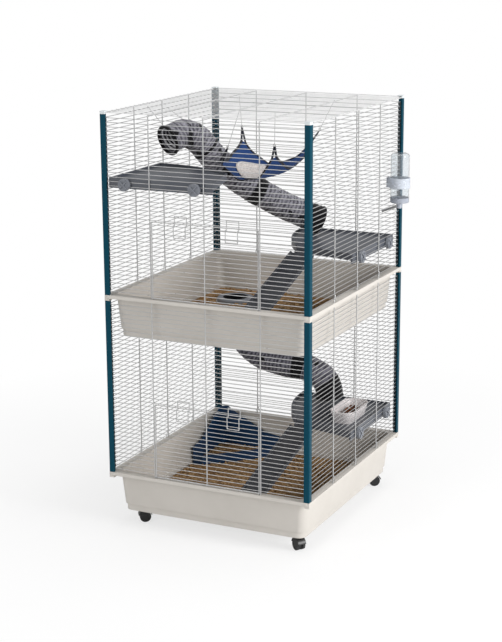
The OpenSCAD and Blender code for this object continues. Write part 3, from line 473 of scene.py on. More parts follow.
def piece(name, work, finish, body, smooth=35):
    """Turns a finished bmesh into a piece of the scene that rides on a body."""
    mesh = plain_mesh(name, work)
    mesh.materials.append(finish)
    if smooth:
        mesh.shade_smooth()
        mesh.set_sharp_from_angle(angle=math.radians(smooth))
    made = stand(name, mesh)
    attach(made, body)
    return made


def face_out(work):
    """Turns all the faces of a bmesh outwards."""
    bmesh.ops.recalc_face_normals(work, faces=work.faces)


def soft(name, work, finish, thickness=None, offset=-1.0):
    """A smooth fabric piece of the cage. A sheet gets its real thickness."""
    face_out(work)
    made = piece(name, work, finish, "cage", smooth=0)
    if thickness:
        modifier = made.modifiers.new("thickness", "SOLIDIFY")
        modifier.thickness, modifier.offset = thickness, offset
    made.data.shade_smooth()
    return made


def flat_grid(across, back, size=0.5):
    work = bmesh.new()
    bmesh.ops.create_grid(work, x_segments=across, y_segments=back, size=size)
    return work


def verts_in(geometry):
    return [v for v in geometry if isinstance(v, bmesh.types.BMVert)]


def grow(work, edges, verts):
    """Extrudes edges and gives the new verts, in the order of the verts that they grew from."""
    fresh = set(verts_in(bmesh.ops.extrude_edge_only(work, edges=edges)["geom"]))
    return [next(e.other_vert(v) for e in v.link_edges if e.other_vert(v) in fresh) for v in verts]


def around(centre, side, rise, angle, radius):
    """The point at an angle on the circle that two directions span."""
    return centre + (side * math.cos(angle) + rise * math.sin(angle)) * radius


def curve_points(route, steps):
    """A smooth curve through given points, the same curve that the CAD tunnels follow."""
    p = [Vector(q) for q in route]
    made = []
    for i in range(len(p) - 1):
        a, b, c, d = p[max(i - 1, 0)], p[i], p[i + 1], p[min(i + 2, len(p) - 1)]
        for k in range(steps):
            t = k / steps
            made.append(0.5 * (2 * b + (c - a) * t + (2 * a - 5 * b + 4 * c - d) * t * t
                               + (3 * b - a - 3 * c + d) * t ** 3))
    return made + [p[-1]]


class Line:
    """A curve walked by its length, with a frame that does not twist."""

    def __init__(self, points, start=None, up=(0, 0, 1)):
        self.points = points
        self.lengths = [0.0]
        for a, b in zip(points, points[1:]):
            self.lengths.append(self.lengths[-1] + (b - a).length)
        self.total = self.lengths[-1]
        self.start, self.up = start, Vector(up)

    def place(self, s):
        s = min(max(s, 0.0), self.total)
        i = 0
        while i < len(self.points) - 2 and self.lengths[i + 1] < s:
            i += 1
        span = self.lengths[i + 1] - self.lengths[i]
        return self.points[i].lerp(self.points[i + 1], (s - self.lengths[i]) / span)

    def frame(self, s, reach=0.004):
        """Centre and two directions across the curve."""
        ahead = (self.place(s + reach) - self.place(s - reach)).normalized()
        if self.start is not None and s < reach:
            ahead = Vector(self.start).normalized()
        side = ahead.cross(self.up).normalized()
        return self.place(s), side, side.cross(ahead).normalized()


def loft(work, line, stations, sides, radius):
    """Extrudes a ring along a line. radius(s, angle) is the distance from it. The UV map is in metres."""
    uv = work.loops.layers.uv.verify()
    ring = bmesh.ops.create_circle(work, cap_ends=False, radius=1.0, segments=sides)["verts"]
    ring.sort(key=lambda v: math.atan2(v.co.y, v.co.x) % TURN)
    spot = {}
    for number, s in enumerate(stations):
        if number:
            ring = grow(work, [work.edges.get((ring[i], ring[(i + 1) % sides])) for i in range(sides)], ring)
        middle = line.frame(s)
        for i, vert in enumerate(ring):
            angle = TURN * i / sides
            vert.co = around(*middle, angle, radius(s, angle))
            spot[vert] = (i, s)
    girth = radius(stations[0], 0.0) * TURN
    for face in work.faces:
        wraps = {spot[v][0] for v in face.verts} == {0, sides - 1}
        for corner in face.loops:
            i, s = spot[corner.vert]
            corner[uv].uv = ((sides if wraps and i == 0 else i) / sides * girth, s)


def spaced(low, high, pitch):
    count = max(1, round((high - low) / pitch))
    return [low + (high - low) * i / count for i in range(count + 1)]


def rolled_ring(name, middle, radius, rounds, sides, reach, finish):
    """A roll bent into a closed ring. middle is its centre and the two directions that it lies in,
    rounds its steps as a path and as a skin, and reach(point, angle) the roll's own radius."""
    path_steps, skin_steps = rounds
    ring = Line([around(*middle, TURN * i / path_steps, radius) for i in range(path_steps + 1)],
                up=middle[1].cross(middle[2]))
    work = bmesh.new()
    loft(work, ring, [ring.total * i / skin_steps for i in range(skin_steps)], sides,
         lambda s, a: reach(ring.place(s), a))
    bmesh.ops.bridge_loops(work, edges=[e for e in work.edges if e.is_boundary])
    face_out(work)
    return piece(name, work, finish, "cage", smooth=0)


# ---- Fabric tunnels ----

HOLE = (-195, 215)
UPPER_ROUTE = [
    (-285, -120, ROOF - 120), (-257, -62, ROOF - 101), (-229, -20, ROOF - 119), (-211, 10, ROOF - 154),
    (-178, 42, ROOF - 206), (-121, 100, ROOF - 277), (-49, 160, ROOF - 338), (24, 220, ROOF - 390),
    (110, 292, MID_RIM + SHELF_LOW + 61),
]
LOWER_ROUTE = [
    (*HOLE, MID_FLOOR - 14.3), (-192, 219, MID_RIM - 235), (-160, 228, MID_RIM - 295),
    (-101, 240, MID_RIM - 345), (-12, 250, MID_RIM - 368), (62, 264, MID_RIM - 378),
    (122, 280, MID_RIM - 408), (146, 287, MID_RIM - 445), (152, 290, BASE_RIM + SHELF_LOW + 32),
]
TUNNEL_R = 50 * MM
COIL_PITCH = 14 * MM
SKIN_SIDES = 48
SKIN_THICK = 2.4 * MM
# How fine the skin's dents are, and how deep they and the hollows between the spring's turns are
DENT_SCALE, DENT, DRAWN_IN = 42, 1.1 * MM, 1.1 * MM
SPRING_INSET, SPRING_IN, SPRING_STEPS = 6 * MM, 4.2 * MM, 28
# How far the painted-shade sleeve and the band's edge stand inside the tunnel's radius
SHADE_SLEEVE_IN, BAND_IN = 3.9 * MM, 1.6 * MM
BAND_ROLL, BAND_RIB, BAND_RIB_TALL = 3 * MM, 5 * MM, 0.8 * MM


def tunnel_line(route, start, up):
    points = [at(*p) for p in route]
    return Line(curve_points(points, 12), start, up)


upper_line = tunnel_line(UPPER_ROUTE, at(*UPPER_ROUTE[1]) - at(*UPPER_ROUTE[0]), (0, 0, 1))
lower_line = tunnel_line(LOWER_ROUTE, (0, 0, -1), (0, 1, 0))


def crumple(line, s, angle):
    """Fabric drawn in between the turns of the spring, with soft dents."""
    dent = noise.noise(around(*line.frame(s), angle, TUNNEL_R) * DENT_SCALE) * DENT
    turn = abs(math.sin(math.pi * s / COIL_PITCH))
    hollow = (1 - turn) * 0.2 + turn
    return TUNNEL_R - DRAWN_IN * hollow - 0.4 * MM + dent


def sleeve(name, line, stations, reach, finish, thickness):
    """An open fabric tube round a line. reach(s, angle) is its radius."""
    work = bmesh.new()
    loft(work, line, stations, SKIN_SIDES, reach)
    return soft(name, work, finish, thickness)


def tunnel_skin(name, node, line, finish):
    made = sleeve(name, line, spaced(0, line.total, COIL_PITCH / 6), lambda s, a: crumple(line, s, a),
                  finish, SKIN_THICK)
    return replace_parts(made, node)


def spring(name, line, finish, thickness):
    """The covered spring that holds a tunnel open: one helix along its inside."""
    low, high = SPRING_INSET, line.total - SPRING_INSET
    turns = (high - low) / COIL_PITCH
    count = int(turns * SPRING_STEPS)
    inside = TUNNEL_R - SPRING_IN - thickness / 2
    coil = Line([around(*line.frame(low + (high - low) * i / count), TURN * turns * i / count, inside)
                 for i in range(count + 1)])
    work = bmesh.new()
    loft(work, coil, coil.lengths, 6, lambda s, a: thickness / 2)
    bmesh.ops.holes_fill(work, edges=[e for e in work.edges if e.is_boundary], sides=0)
    face_out(work)
    return piece(name, work, finish, "cage", smooth=80)


def band(name, line, low, high, proud):
    """A dark stretch band or cuff round a tunnel, ribbed along its length and rolled in at both edges."""
    def reach(s, angle):
        roll = min(1.0, max(0.0, min(s - low, high - s) / BAND_ROLL))
        rib = abs(math.sin(math.pi * (s - low) / BAND_RIB)) * BAND_RIB_TALL
        rise = (BAND_IN + proud) * math.sin(roll * math.pi / 2) + rib * roll
        return crumple(line, s, angle) - BAND_IN + rise

    return sleeve(name, line, spaced(low, high, 1.2 * MM), reach, band_and_shade_pile, 1.4 * MM)


def mouth_ring(name, line, s, thickness):
    """A stuffed black roll sewn round a tunnel's mouth."""
    def plump(point, angle):
        return thickness / 2 * (1 + 0.06 * noise.noise(point * 130 + Vector((0, 0, angle))))
    return rolled_ring(name, line.frame(s), TUNNEL_R - 0.6 * MM, (72, 144), 14, plump, band_and_shade_pile)


def painted_shade_sleeve(name, line, low, high, radius=TUNNEL_R - SHADE_SLEEVE_IN):
    """A black sleeve inside a tunnel's first turns and inside the floor's ring: painted shade in the hole.
    """
    return sleeve(name, line, spaced(low, high, 3 * MM), lambda s, a: radius, band_and_shade_pile, 0.4 * MM)


tunnel_skin("upper_tunnel_skin", "upper_tunnel", upper_line, tunnel_pile)
tunnel_skin("lower_tunnel_skin", "lower_tunnel", lower_line, lower_pile)
# The upper spring takes the near-white cover, partly painted light; the lower spring takes the darker lower
# pile instead, painted shade inside it.
spring("upper_tunnel_spring", upper_line, spring_cover_painted_light, 7.2 * MM)
spring("lower_tunnel_spring", lower_line, lower_pile, 5.6 * MM)
# The floor ring's height and bore, and how far its painted-shade sleeve reaches below the floor
RING_TALL, RING_BORE_R, SHADE_SLEEVE_DROP = 17, 47, 13
ring_line = Line([at(*HOLE, MID_FLOOR + z) for z in (RING_TALL - 0.6, 0, -SHADE_SLEEVE_DROP)],
                 (0, 0, -1), (0, 1, 0))
painted_shade_sleeve("lower_tunnel_neck_painted_shade", lower_line, 0.001, 0.085)
painted_shade_sleeve("floor_ring_painted_shade", ring_line, 0, ring_line.total, (RING_BORE_R - 0.5) * MM)
mouth_ring("upper_tunnel_mouth", upper_line, 0.0, 11 * MM)
mouth_ring("upper_tunnel_end", upper_line, upper_line.total - 0.003, 7 * MM)
mouth_ring("lower_tunnel_end", lower_line, lower_line.total - 0.003, 7 * MM)
# Each band's place along its tunnel, in metres, and how proud it stands
for name, line, low, high, proud in (
    ("upper_tunnel_neck_band", upper_line, 0.170, 0.186, 0.6 * MM),
    ("upper_tunnel_shoulder_band", upper_line, 0.258, 0.296, 0.6 * MM),
    ("upper_tunnel_middle_band", upper_line, 0.402, 0.446, 0.6 * MM),
    ("upper_tunnel_cuff", upper_line, 0.628, upper_line.total - 0.002, 0.8 * MM),
    ("lower_tunnel_neck_band", lower_line, 0.004, 0.030, 0.5 * MM),
    ("lower_tunnel_middle_band", lower_line, 0.352, 0.396, 0.6 * MM),
    ("lower_tunnel_cuff", lower_line, 0.488, lower_line.total - 0.002, 0.8 * MM),
):
    band(name, line, low, high, proud)

# ---- Hammock ----

CLOTH_CORNERS = [(-60, -180, ROOF - 169), (145, -180, ROOF - 133),
                 (131, 150, ROOF - 139), (-130, 150, ROOF - 135)]
LOOP_TOPS = [(-25, -182, ROOF - 122), (148, -184, ROOF - 106),
             (156, 176, ROOF - 96), (-140, 165, ROOF - 102)]
# How far the cloth drops in the middle of each edge and of the whole
FRONT_SAG, REAR_SAG, LEFT_SAG, RIGHT_SAG, SAG = 80.0, 80.0, 25.0, 62.0, 90.0
# How far the middles of its sides and ends are drawn in
SIDE_SPREAD, END_PULL = 5.0, 20.0
# The corner creases: height, how close together, and how fast they fade
CREASE, CREASES_TURN, CREASE_FADE = 1.6, 16, 4.2


def belly(f):
    return 4 * f * (1 - f)


def cloth_at(s, t):
    """The cloth at s across and t back, the same surface that the CAD hammock has."""
    q = [Vector(c) for c in CLOTH_CORNERS]
    flat = q[0].lerp(q[1], s).lerp(q[3].lerp(q[2], s), t)
    fold = (5 * math.sin(math.radians(900 * s + 200 * t)) * belly(s) * (1 - belly(t))
            + 4 * math.sin(math.radians(720 * t)) * (1 - belly(s)) * belly(t))
    rest = SAG - (FRONT_SAG + REAR_SAG + LEFT_SAG + RIGHT_SAG) / 2
    drop = (belly(s) * (FRONT_SAG * (1 - t) + REAR_SAG * t) + belly(t) * (LEFT_SAG * (1 - s) + RIGHT_SAG * s)
            + rest * belly(s) * belly(t))
    return flat + Vector((-SIDE_SPREAD * belly(t) * (1 - 2 * s), END_PULL * belly(s) * (1 - 2 * t),
                          fold - drop))


def creases(s, t):
    """Fine folds that run in from the held corners."""
    rise = 0.0
    for cs, ct in ((0, 0), (1, 0), (1, 1), (0, 1)):
        away = math.hypot(s - cs, t - ct)
        turn = math.atan2(abs(t - ct), abs(s - cs))
        rise += (CREASE * math.sin(turn * CREASES_TURN + 2 * cs + ct) * math.exp(-away * CREASE_FADE)
                 * min(1.0, away * 9))
    return rise


def cloth_point(s, t):
    p = cloth_at(s, t)
    return at(p.x, p.y, p.z - 0.8 + creases(s, t) * belly(min(max(s, 0.03), 0.97)) ** 0.3)


# How much of each corner is cut off, towards the middle
CORNER_CUT = 17.0 * MM
# The cloth as cut: mean width and length
CLOTH_FLAT = (0.276, 0.313)


def hammock_cloth():
    work = flat_grid(72, 84)
    uv = work.loops.layers.uv.verify()
    for face in work.faces:
        for corner in face.loops:
            s, t = corner.vert.co.x + 0.5, corner.vert.co.y + 0.5
            corner[uv].uv = (s * CLOTH_FLAT[0], t * CLOTH_FLAT[1])
    for vert in work.verts:
        vert.co = cloth_point(vert.co.x + 0.5, vert.co.y + 0.5)
    middle = cloth_point(0.5, 0.5)
    for c in range(4):
        corner = at(*CLOTH_CORNERS[c])
        inward = (middle - corner).normalized()
        bmesh.ops.bisect_plane(work, geom=work.verts[:] + work.edges[:] + work.faces[:],
                               plane_co=corner + inward * CORNER_CUT, plane_no=-inward, clear_outer=True)
    area = sum(face.calc_area() for face in work.faces)
    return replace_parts(soft("hammock_cloth", work, hammock_cotton, 1.3 * MM), "hammock"), area


def tape(name, points, width, thickness, up):
    """Flat webbing that follows points, its width across the direction that up gives at each."""
    work = bmesh.new()
    uv = work.loops.layers.uv.verify()
    ends = [work.verts.new(), work.verts.new()]
    edge = work.edges.new(ends)
    spot, walked = {}, 0.0
    for i, point in enumerate(points):
        ahead = (points[min(i + 1, len(points) - 1)] - points[max(i - 1, 0)]).normalized()
        across = (up[i] - ahead * up[i].dot(ahead)).normalized() * width / 2
        if i:
            walked += (point - points[i - 1]).length
            ends = grow(work, [edge], ends)
            edge = work.edges.get(ends)
        ends[0].co, ends[1].co = point - across, point + across
        spot[ends[0]], spot[ends[1]] = (0.0, walked), (width, walked)
    for face in work.faces:
        for corner in face.loops:
            corner[uv].uv = spot[corner.vert]
    return soft(name, work, black_webbing, thickness, 0.0)


def cloth_edge(number, count=40):
    """The points of one edge of the cloth between its cut corners, and the way into the cloth from each."""
    made, inward = [], []
    for i in range(count + 1):
        f = 0.045 + 0.91 * i / count
        s, t, ds, dt = [(f, 0, 0, 1), (1, f, -1, 0), (1 - f, 1, 0, -1), (0, 1 - f, 1, 0)][number]
        made.append(cloth_point(s, t))
        inward.append((cloth_point(s + 0.02 * ds, t + 0.02 * dt) - made[-1]).normalized())
    return made, inward


cloth, cloth_area = hammock_cloth()
edges = [cloth_edge(number) for number in range(4)]
for number, (line_points, inward) in enumerate(edges):
    middle_points = [p + w * 2.5 * MM for p, w in zip(line_points, inward)]
    tape(f"hammock_binding_{number + 1}", middle_points, 8 * MM, 3.2 * MM, inward)
for corner in range(4):
    top = at(*LOOP_TOPS[corner])
    for side, (line_points, inward) in enumerate((edges[corner], edges[corner - 1])):
        foot = line_points[0] if side == 0 else line_points[-1]
        inside = line_points[2] if side == 0 else line_points[-3]
        way = inward[0] if side == 0 else inward[-1]
        across = (top - foot).cross(edges[corner][0][0] - edges[corner - 1][0][-1]).normalized()
        spread_way = across.cross(top - foot).normalized()
        points = [inside + way * 2 * MM] + [foot.lerp(top, f) for f in (0.0, 0.25, 0.5, 0.75, 1.0)]
        tape(f"hammock_strap_{corner + 1}_{side + 1}", points, 7.5 * MM, 1.6 * MM,
                              [spread_way] * len(points))


def wire_ring(name, centre, across, radius, thickness):
    """A small steel ring that a wire hooks into."""
    across = across.normalized()
    other = across.orthogonal().normalized()
    return rolled_ring(name, (centre, other, across.cross(other)), radius, (28, 28), 8,
                       lambda point, angle: thickness / 2, spout_steel)


for corner in range(4):
    top = at(*LOOP_TOPS[corner])
    wire_ring(f"hammock_ring_{corner + 1}", top + Vector((0, 0, 1.5 * MM)),
                               Vector((0.4, 1, 0)), 5 * MM, 1.8 * MM)


# The pad's place and reach on the cloth, as shares of it, how square its plan is, and how high its crown
PAD_MIDDLE, PAD_REACH = (0.5, 0.472), (0.385, 0.413)
PAD_SQUARE, PAD_CROWN = 1.55, 7.6


def fleece_pad():
    """The lining: a pad of fleece with cut-off corners, crowned in the middle and thin at its sewn edge."""
    work = flat_grid(56, 56, size=1.0)
    upper = work.verts[:]
    copy = bmesh.ops.duplicate(work, geom=work.verts[:] + work.edges[:] + work.faces[:])["geom"]
    lower = verts_in(copy)
    bmesh.ops.reverse_faces(work, faces=[f for f in copy if isinstance(f, bmesh.types.BMFace)])

    def plan(x, y):
        """The square grid drawn into a soft lozenge."""
        rim = max(abs(x), abs(y))
        if rim == 0:
            return 0.0, 0.0
        pull = (abs(x / rim) ** PAD_SQUARE + abs(y / rim) ** PAD_SQUARE) ** (-1 / PAD_SQUARE)
        return x * pull, y * pull

    for verts, top in ((upper, True), (lower, False)):
        for vert in verts:
            x, y = vert.co.x, vert.co.y
            rim = max(abs(x), abs(y))
            u, v = plan(x, y)
            s, t = PAD_MIDDLE[0] + PAD_REACH[0] * u, PAD_MIDDLE[1] + PAD_REACH[1] * v
            base = cloth_at(s, t)
            crown = (1 - rim ** 3) ** 0.5
            lump = noise.noise(Vector((s * 9, t * 12, 0.3))) * 1.2
            rise = 1.2 + (crown * (PAD_CROWN + lump) if top else 0.0)
            if rim > 0.999:
                rise = 1.7
            vert.co = at(base.x, base.y, base.z + max(creases(s, t), 0) + rise)
    bmesh.ops.remove_doubles(work, verts=work.verts, dist=0.05 * MM)
    made = soft("hammock_fleece", work, cream_fleece)
    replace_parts(made, "hammock_lining")
    return made


fleece_pad()

# ---- Bedding ----

TRAY_INNER = (676.0, 756.0, 25.0)
BED_TOP = 11.0
PAN_CORNER = (-334.0, 374.0)
PAN_LEG, PAN_END, PAN_ROUND, PAN_SLANT_IN = 252.0, 46.0, 25, 6
# The bare ring left round the floor's hole, and how far a bed slopes down at its edge
HOLE_BARE_R, EDGE_SLOPE = 69.0, 18


def in_tray(x, y, margin):
    """Whether a point is within a tray's floor, by its rounded outline."""
    w, d, r = TRAY_INNER[0] / 2 - margin, TRAY_INNER[1] / 2 - margin, TRAY_INNER[2]
    dx, dy = max(abs(x) - (w - r), 0), max(abs(y) - (d - r), 0)
    return math.hypot(dx, dy) <= r


def pan_gap(x, y):
    """How far a point lies in front of the litter pan's plan: less than 0 inside it."""
    u, v = x - PAN_CORNER[0], PAN_CORNER[1] - y
    slant = (u + v - (PAN_LEG + PAN_END - PAN_SLANT_IN)) / math.sqrt(2)
    return max(u - PAN_LEG, v - PAN_LEG, slant)


def hole_gap(x, y):
    return math.hypot(x - HOLE[0], y - HOLE[1]) - HOLE_BARE_R


def edge_share(gap):
    """How much of its full height a bed has at a distance from its edge."""
    return min(1.0, max(0.25, gap / EDGE_SLOPE))


def lumps(x, y, size, seed):
    """Smooth noise over the floor, from -1 to 1."""
    return noise.noise(Vector((x / size, y / size, seed)))


def heaped(name, body, work, left_out, height, foot):
    """A bed of litter from a flat grid, cut to its outline and heaped, its edge brought down to foot."""
    bmesh.ops.delete(work, geom=[v for v in work.verts if left_out(v.co.x, v.co.y)], context="VERTS")
    rim = [e for e in work.edges if e.is_boundary]
    for vert in work.verts:
        vert.co.z = height(vert.co.x, vert.co.y)
    for vert in verts_in(bmesh.ops.extrude_edge_only(work, edges=rim)["geom"]):
        vert.co.z = foot
    for vert in work.verts:
        vert.co = at(*vert.co)
    face_out(work)
    if sum(face.normal.z for face in work.faces) < 0:
        bmesh.ops.reverse_faces(work, faces=work.faces)
    return piece(name, work, wood_shavings, body, smooth=60)


def bed(name, floor, gap, level):
    """A raked bed of shavings over a tray's floor."""
    work = flat_grid(112, 126)
    for vert in work.verts:
        vert.co = Vector((vert.co.x * (TRAY_INNER[0] - 2), vert.co.y * (TRAY_INNER[1] - 2), 0))

    def height(x, y):
        heap = lumps(x, y, 70, level) * 2.2 + lumps(x, y, 13, 3) * 1.4
        return floor + (level - 1.5 + heap) * edge_share(gap(x, y))

    def left_out(x, y):
        return not in_tray(x, y, 1.5) or gap(x, y) < 2.5

    return heaped(name, "cage", work, left_out, height, floor + 0.4)


# A shaving's size and curl, and how far it lies askew
CHIP_LONG, CHIP_WIDE, CHIP_THICK, CHIP_CURL, CHIP_SLOPE = 13, 6, 0.5, 9.0, 0.35


def curled_chip():
    """One shaving: a thin curled strip."""
    work = flat_grid(3, 1)
    for vert in work.verts:
        x, y = vert.co.x, vert.co.y
        vert.co = Vector((x * CHIP_LONG, y * CHIP_WIDE, 2.0 - CHIP_CURL * x ** 2)) * MM
    bmesh.ops.solidify(work, geom=work.faces[:], thickness=CHIP_THICK * MM)
    return plain_mesh("chip_pattern", work)


def strewn(name, pattern, places, finish, body):
    """Copies of one small shape, each with a tone of its own."""
    work = bmesh.new()
    tone = work.faces.layers.float.new("chip_tone")
    for matrix in places:
        before, faces_before = len(work.verts), len(work.faces)
        work.from_mesh(pattern)
        work.verts.ensure_lookup_table()
        work.faces.ensure_lookup_table()
        shade = random.random()
        for vert in work.verts[before:]:
            vert.co = matrix @ vert.co
        for face in work.faces[faces_before:]:
            face[tone] = shade
    return piece(name, work, finish, body, smooth=50)


def any_way(slope, full_turn=TURN):
    """A chance turn about the vertical, after a chance tilt."""
    turn = Matrix.Rotation(random.uniform(0, full_turn), 4, "Z")
    return turn @ Matrix.Rotation(random.gauss(0, slope), 4, "X")


def chip_places(count, floor, gap, level, spare):
    """Places for shavings strewn over a bed, each a little askew."""
    made = []
    while len(made) < count:
        x, y = [random.uniform(-0.5, 0.5) * reach for reach in TRAY_INNER[:2]]
        if not in_tray(x, y, 9) or gap(x, y) < spare:
            continue
        z = floor + level * edge_share(gap(x, y)) + random.uniform(-1.5, 1.5)
        askew = any_way(CHIP_SLOPE) @ Matrix.Rotation(random.gauss(0, CHIP_SLOPE), 4, "Y")
        size = [random.uniform(*limits) for limits in ((0.6, 1.3), (0.6, 1.4), (0.5, 1.2))]
        made.append(Matrix.Translation(at(x, y, z)) @ askew @ Matrix.Diagonal((*size, 1)))
    return made


chip = curled_chip()
chip_count = 3000
for storey, floor, gap, depth, spare in (("lower", BASE_FLOOR, pan_gap, BED_TOP, 9),
                                         ("upper", MID_FLOOR, hole_gap, BED_TOP - 4, 8)):
    bed(f"{storey}_bedding", floor, gap, depth)
    places = chip_places(chip_count, floor, gap, depth, spare)
    strewn(f"{storey}_shavings", chip, places, wood_shavings, "cage")

# ---- Litter in the pan ----

# The pan's inner floor: the tray's floor, the pan's foot and its bottom
PAN_INNER_Z = 56.05 + 6.6 + 3
PAN_WALL = 3


def pan_floor(x, y):
    """How far a point lies inside the pan's own walls."""
    u, v = x - PAN_CORNER[0], PAN_CORNER[1] - y
    inside = min(u, v, -pan_gap(x, y))
    if u < PAN_ROUND and v < PAN_ROUND:
        inside = min(inside, PAN_ROUND - math.hypot(PAN_ROUND - u, PAN_ROUND - v))
    return inside - PAN_WALL


def pan_litter():
    work = flat_grid(70, 70)
    for vert in work.verts:
        x, y = PAN_CORNER[0] + (vert.co.x + 0.5) * PAN_LEG, PAN_CORNER[1] - (vert.co.y + 0.5) * PAN_LEG
        vert.co = Vector((x, y, 0))

    def height(x, y):
        return PAN_INNER_Z + 7 + lumps(x, y, 30, 7) * 3 + lumps(x, y, 9, 1)

    return heaped("pan_bedding", "litter_pan", work, lambda x, y: pan_floor(x, y) < 0.8, height,
                  PAN_INNER_Z + 0.3)


pan_litter()
pan_places = []
while len(pan_places) < (420):
    x = PAN_CORNER[0] + random.random() * PAN_LEG
    y = PAN_CORNER[1] - random.random() * PAN_LEG
    if pan_floor(x, y) < 8:
        continue
    turn = any_way(0.3)
    pan_places.append(Matrix.Translation(at(x, y, PAN_INNER_Z + 8 + random.uniform(-1, 2))) @ turn)
strewn("pan_shavings", chip, pan_places, wood_shavings, "litter_pan")

# ---- Bottle ----

bottle_low, bottle_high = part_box("bottle")
bottle_middle = (bottle_low + bottle_high) / 2
BOTTLE_R = (bottle_high.y - bottle_low.y) / 2
BOTTLE_WALL = 1.6 * MM
CROWN_R = 10 * MM
# The cap as in the photo, as wide as the bottle, and the nose under it
CAP_FOOT = bottle_low.z - 16 * MM
CAP_TALL = 18 * MM
NOSE_R = 9 * MM
NOSE_TALL = 21 * MM
CAP_WALL = 2.2 * MM
TURNED_STEPS = 96


def turned(outline):
    """A closed outline of radii and heights, spun round the bottle's axis."""
    work = bmesh.new()
    ring = [work.verts.new((bottle_middle.x + r, bottle_middle.y, z)) for r, z in outline]
    sides = [work.edges.new((ring[i - 1], ring[i])) for i in range(len(ring))]
    bmesh.ops.spin(work, geom=ring + sides, cent=(bottle_middle.x, bottle_middle.y, 0), axis=(0, 0, 1),
                   dvec=(0, 0, 0), angle=TURN, steps=TURNED_STEPS, use_merge=True, use_duplicate=False)
    bmesh.ops.remove_doubles(work, verts=work.verts, dist=0.01 * MM)
    bmesh.ops.dissolve_degenerate(work, edges=work.edges, dist=0.01 * MM)
    face_out(work)
    return work


def bottle_body():
    """The clear bottle: a straight thin wall with a round crown, whose foot stands in the cap."""
    def crown(r):
        top = bottle_high.z - (BOTTLE_R - r)
        return [(r - CROWN_R * (1 - math.cos(a)), top - CROWN_R * (1 - math.sin(a)))
                for a in (math.pi / 2 * i / 8 for i in range(9))]

    neck = BOTTLE_R - CAP_WALL - 0.3 * MM
    foot = CAP_FOOT + 3 * MM
    collar = CAP_FOOT + CAP_TALL
    inner = BOTTLE_R - BOTTLE_WALL
    outline = ([(neck, foot), (neck, collar), (BOTTLE_R, collar + 2 * MM)] + crown(BOTTLE_R)
               + [(0, bottle_high.z), (0, bottle_high.z - BOTTLE_WALL)] + crown(inner)[::-1]
               + [(inner, collar + 2 * MM), (neck - BOTTLE_WALL, collar), (neck - BOTTLE_WALL, foot)])
    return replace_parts(piece("bottle_body", turned(outline), bottle_plastic, "cage"), "bottle")


def bottle_cap():
    """A shallow screw cap as wide as the bottle, with fine grips and a nose that takes the spout."""
    top = CAP_FOOT + CAP_TALL
    nose_foot = CAP_FOOT - NOSE_TALL
    bore = BOTTLE_R - CAP_WALL
    work = turned([
        (0, nose_foot), (NOSE_R - 2 * MM, nose_foot), (NOSE_R, nose_foot + 2 * MM), (NOSE_R, CAP_FOOT),
        (BOTTLE_R - 2 * MM, CAP_FOOT), (BOTTLE_R, CAP_FOOT + 2 * MM), (BOTTLE_R, CAP_FOOT + 4 * MM),
        (BOTTLE_R, top - 3 * MM), (BOTTLE_R, top - MM), (BOTTLE_R - MM, top), (bore, top),
        (bore, CAP_FOOT + 2.4 * MM), (0, CAP_FOOT + 2.4 * MM),
    ])
    for vert in work.verts:
        out = Vector((vert.co.x - bottle_middle.x, vert.co.y - bottle_middle.y, 0))
        column = round(math.atan2(out.y, out.x) / TURN * TURNED_STEPS)
        grip = column % 2 and CAP_FOOT + 3 * MM < vert.co.z < top - 2 * MM
        if grip and out.length > BOTTLE_R - 0.1 * MM:
            vert.co -= out.normalized() * 0.7 * MM
    made = piece("bottle_screw_cap", work, plastic["bottle_cap"], "cage")
    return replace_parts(made, "bottle_cap")


bottle_body()
bottle_cap()

# ---- Food ----

KIBBLE_SIZE = (6.4, 5.4, 3.6)
KIBBLE_LAYERS, KIBBLE_FIRST_Z, KIBBLE_LAYER_TALL = 5, 8.5, 5.6
# The heap's lowest layer: its pieces, reach across, reach along as so many times that, and place in the bowl
KIBBLE_COUNT, KIBBLE_REACH, KIBBLE_ALONG, KIBBLE_BACK = 34, 24, 1.8, 20
# What each layer above it loses of pieces and reach
KIBBLE_FEWER, KIBBLE_NARROWER = 4, 1.6


def kibble_shape():
    work = bmesh.new()
    bmesh.ops.create_icosphere(work, subdivisions=1, radius=1.0)
    for vert in work.verts:
        vert.co = Vector(c * size for c, size in zip(vert.co, KIBBLE_SIZE)) * MM
    return plain_mesh("kibble_pattern", work)


bowl_low, bowl_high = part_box("bowl")
bowl_middle = (bowl_low + bowl_high) / 2
kibble_places = []
for layer in range(KIBBLE_LAYERS):
    for _ in range(KIBBLE_COUNT - layer * KIBBLE_FEWER):
        reach_x = (KIBBLE_REACH - layer * KIBBLE_NARROWER) * math.sqrt(random.random())
        angle = random.uniform(0, TURN)
        x = bowl_middle.x + reach_x * math.cos(angle) * MM
        y = bowl_middle.y + (KIBBLE_BACK + reach_x * KIBBLE_ALONG * math.sin(angle)) * MM
        z = bowl_low.z + (KIBBLE_FIRST_Z + layer * KIBBLE_LAYER_TALL + random.uniform(-0.8, 0.8)) * MM
        kibble_places.append(Matrix.Translation(Vector((x, y, z))) @ any_way(0.5, 6.28))
strewn("kibble_heap", kibble_shape(), kibble_places, kibble_crust, "bowl")

# ---- Post combs ----

# The walls' wires, the teeth between them, and each row's places inside the post's corner
WIRE_FIRST, WIRE_PITCH, COMB_TEETH = 12.5, 15, 39
TOOTH_THIN, TOOTH_WIDE, TOOTH_TALL = 2.6, 9.0, 8.2
TOOTH_NEAR, TOOTH_FAR = 3, 9.1
# The posts' outer corners
POST_X, POST_Y = 370, 410


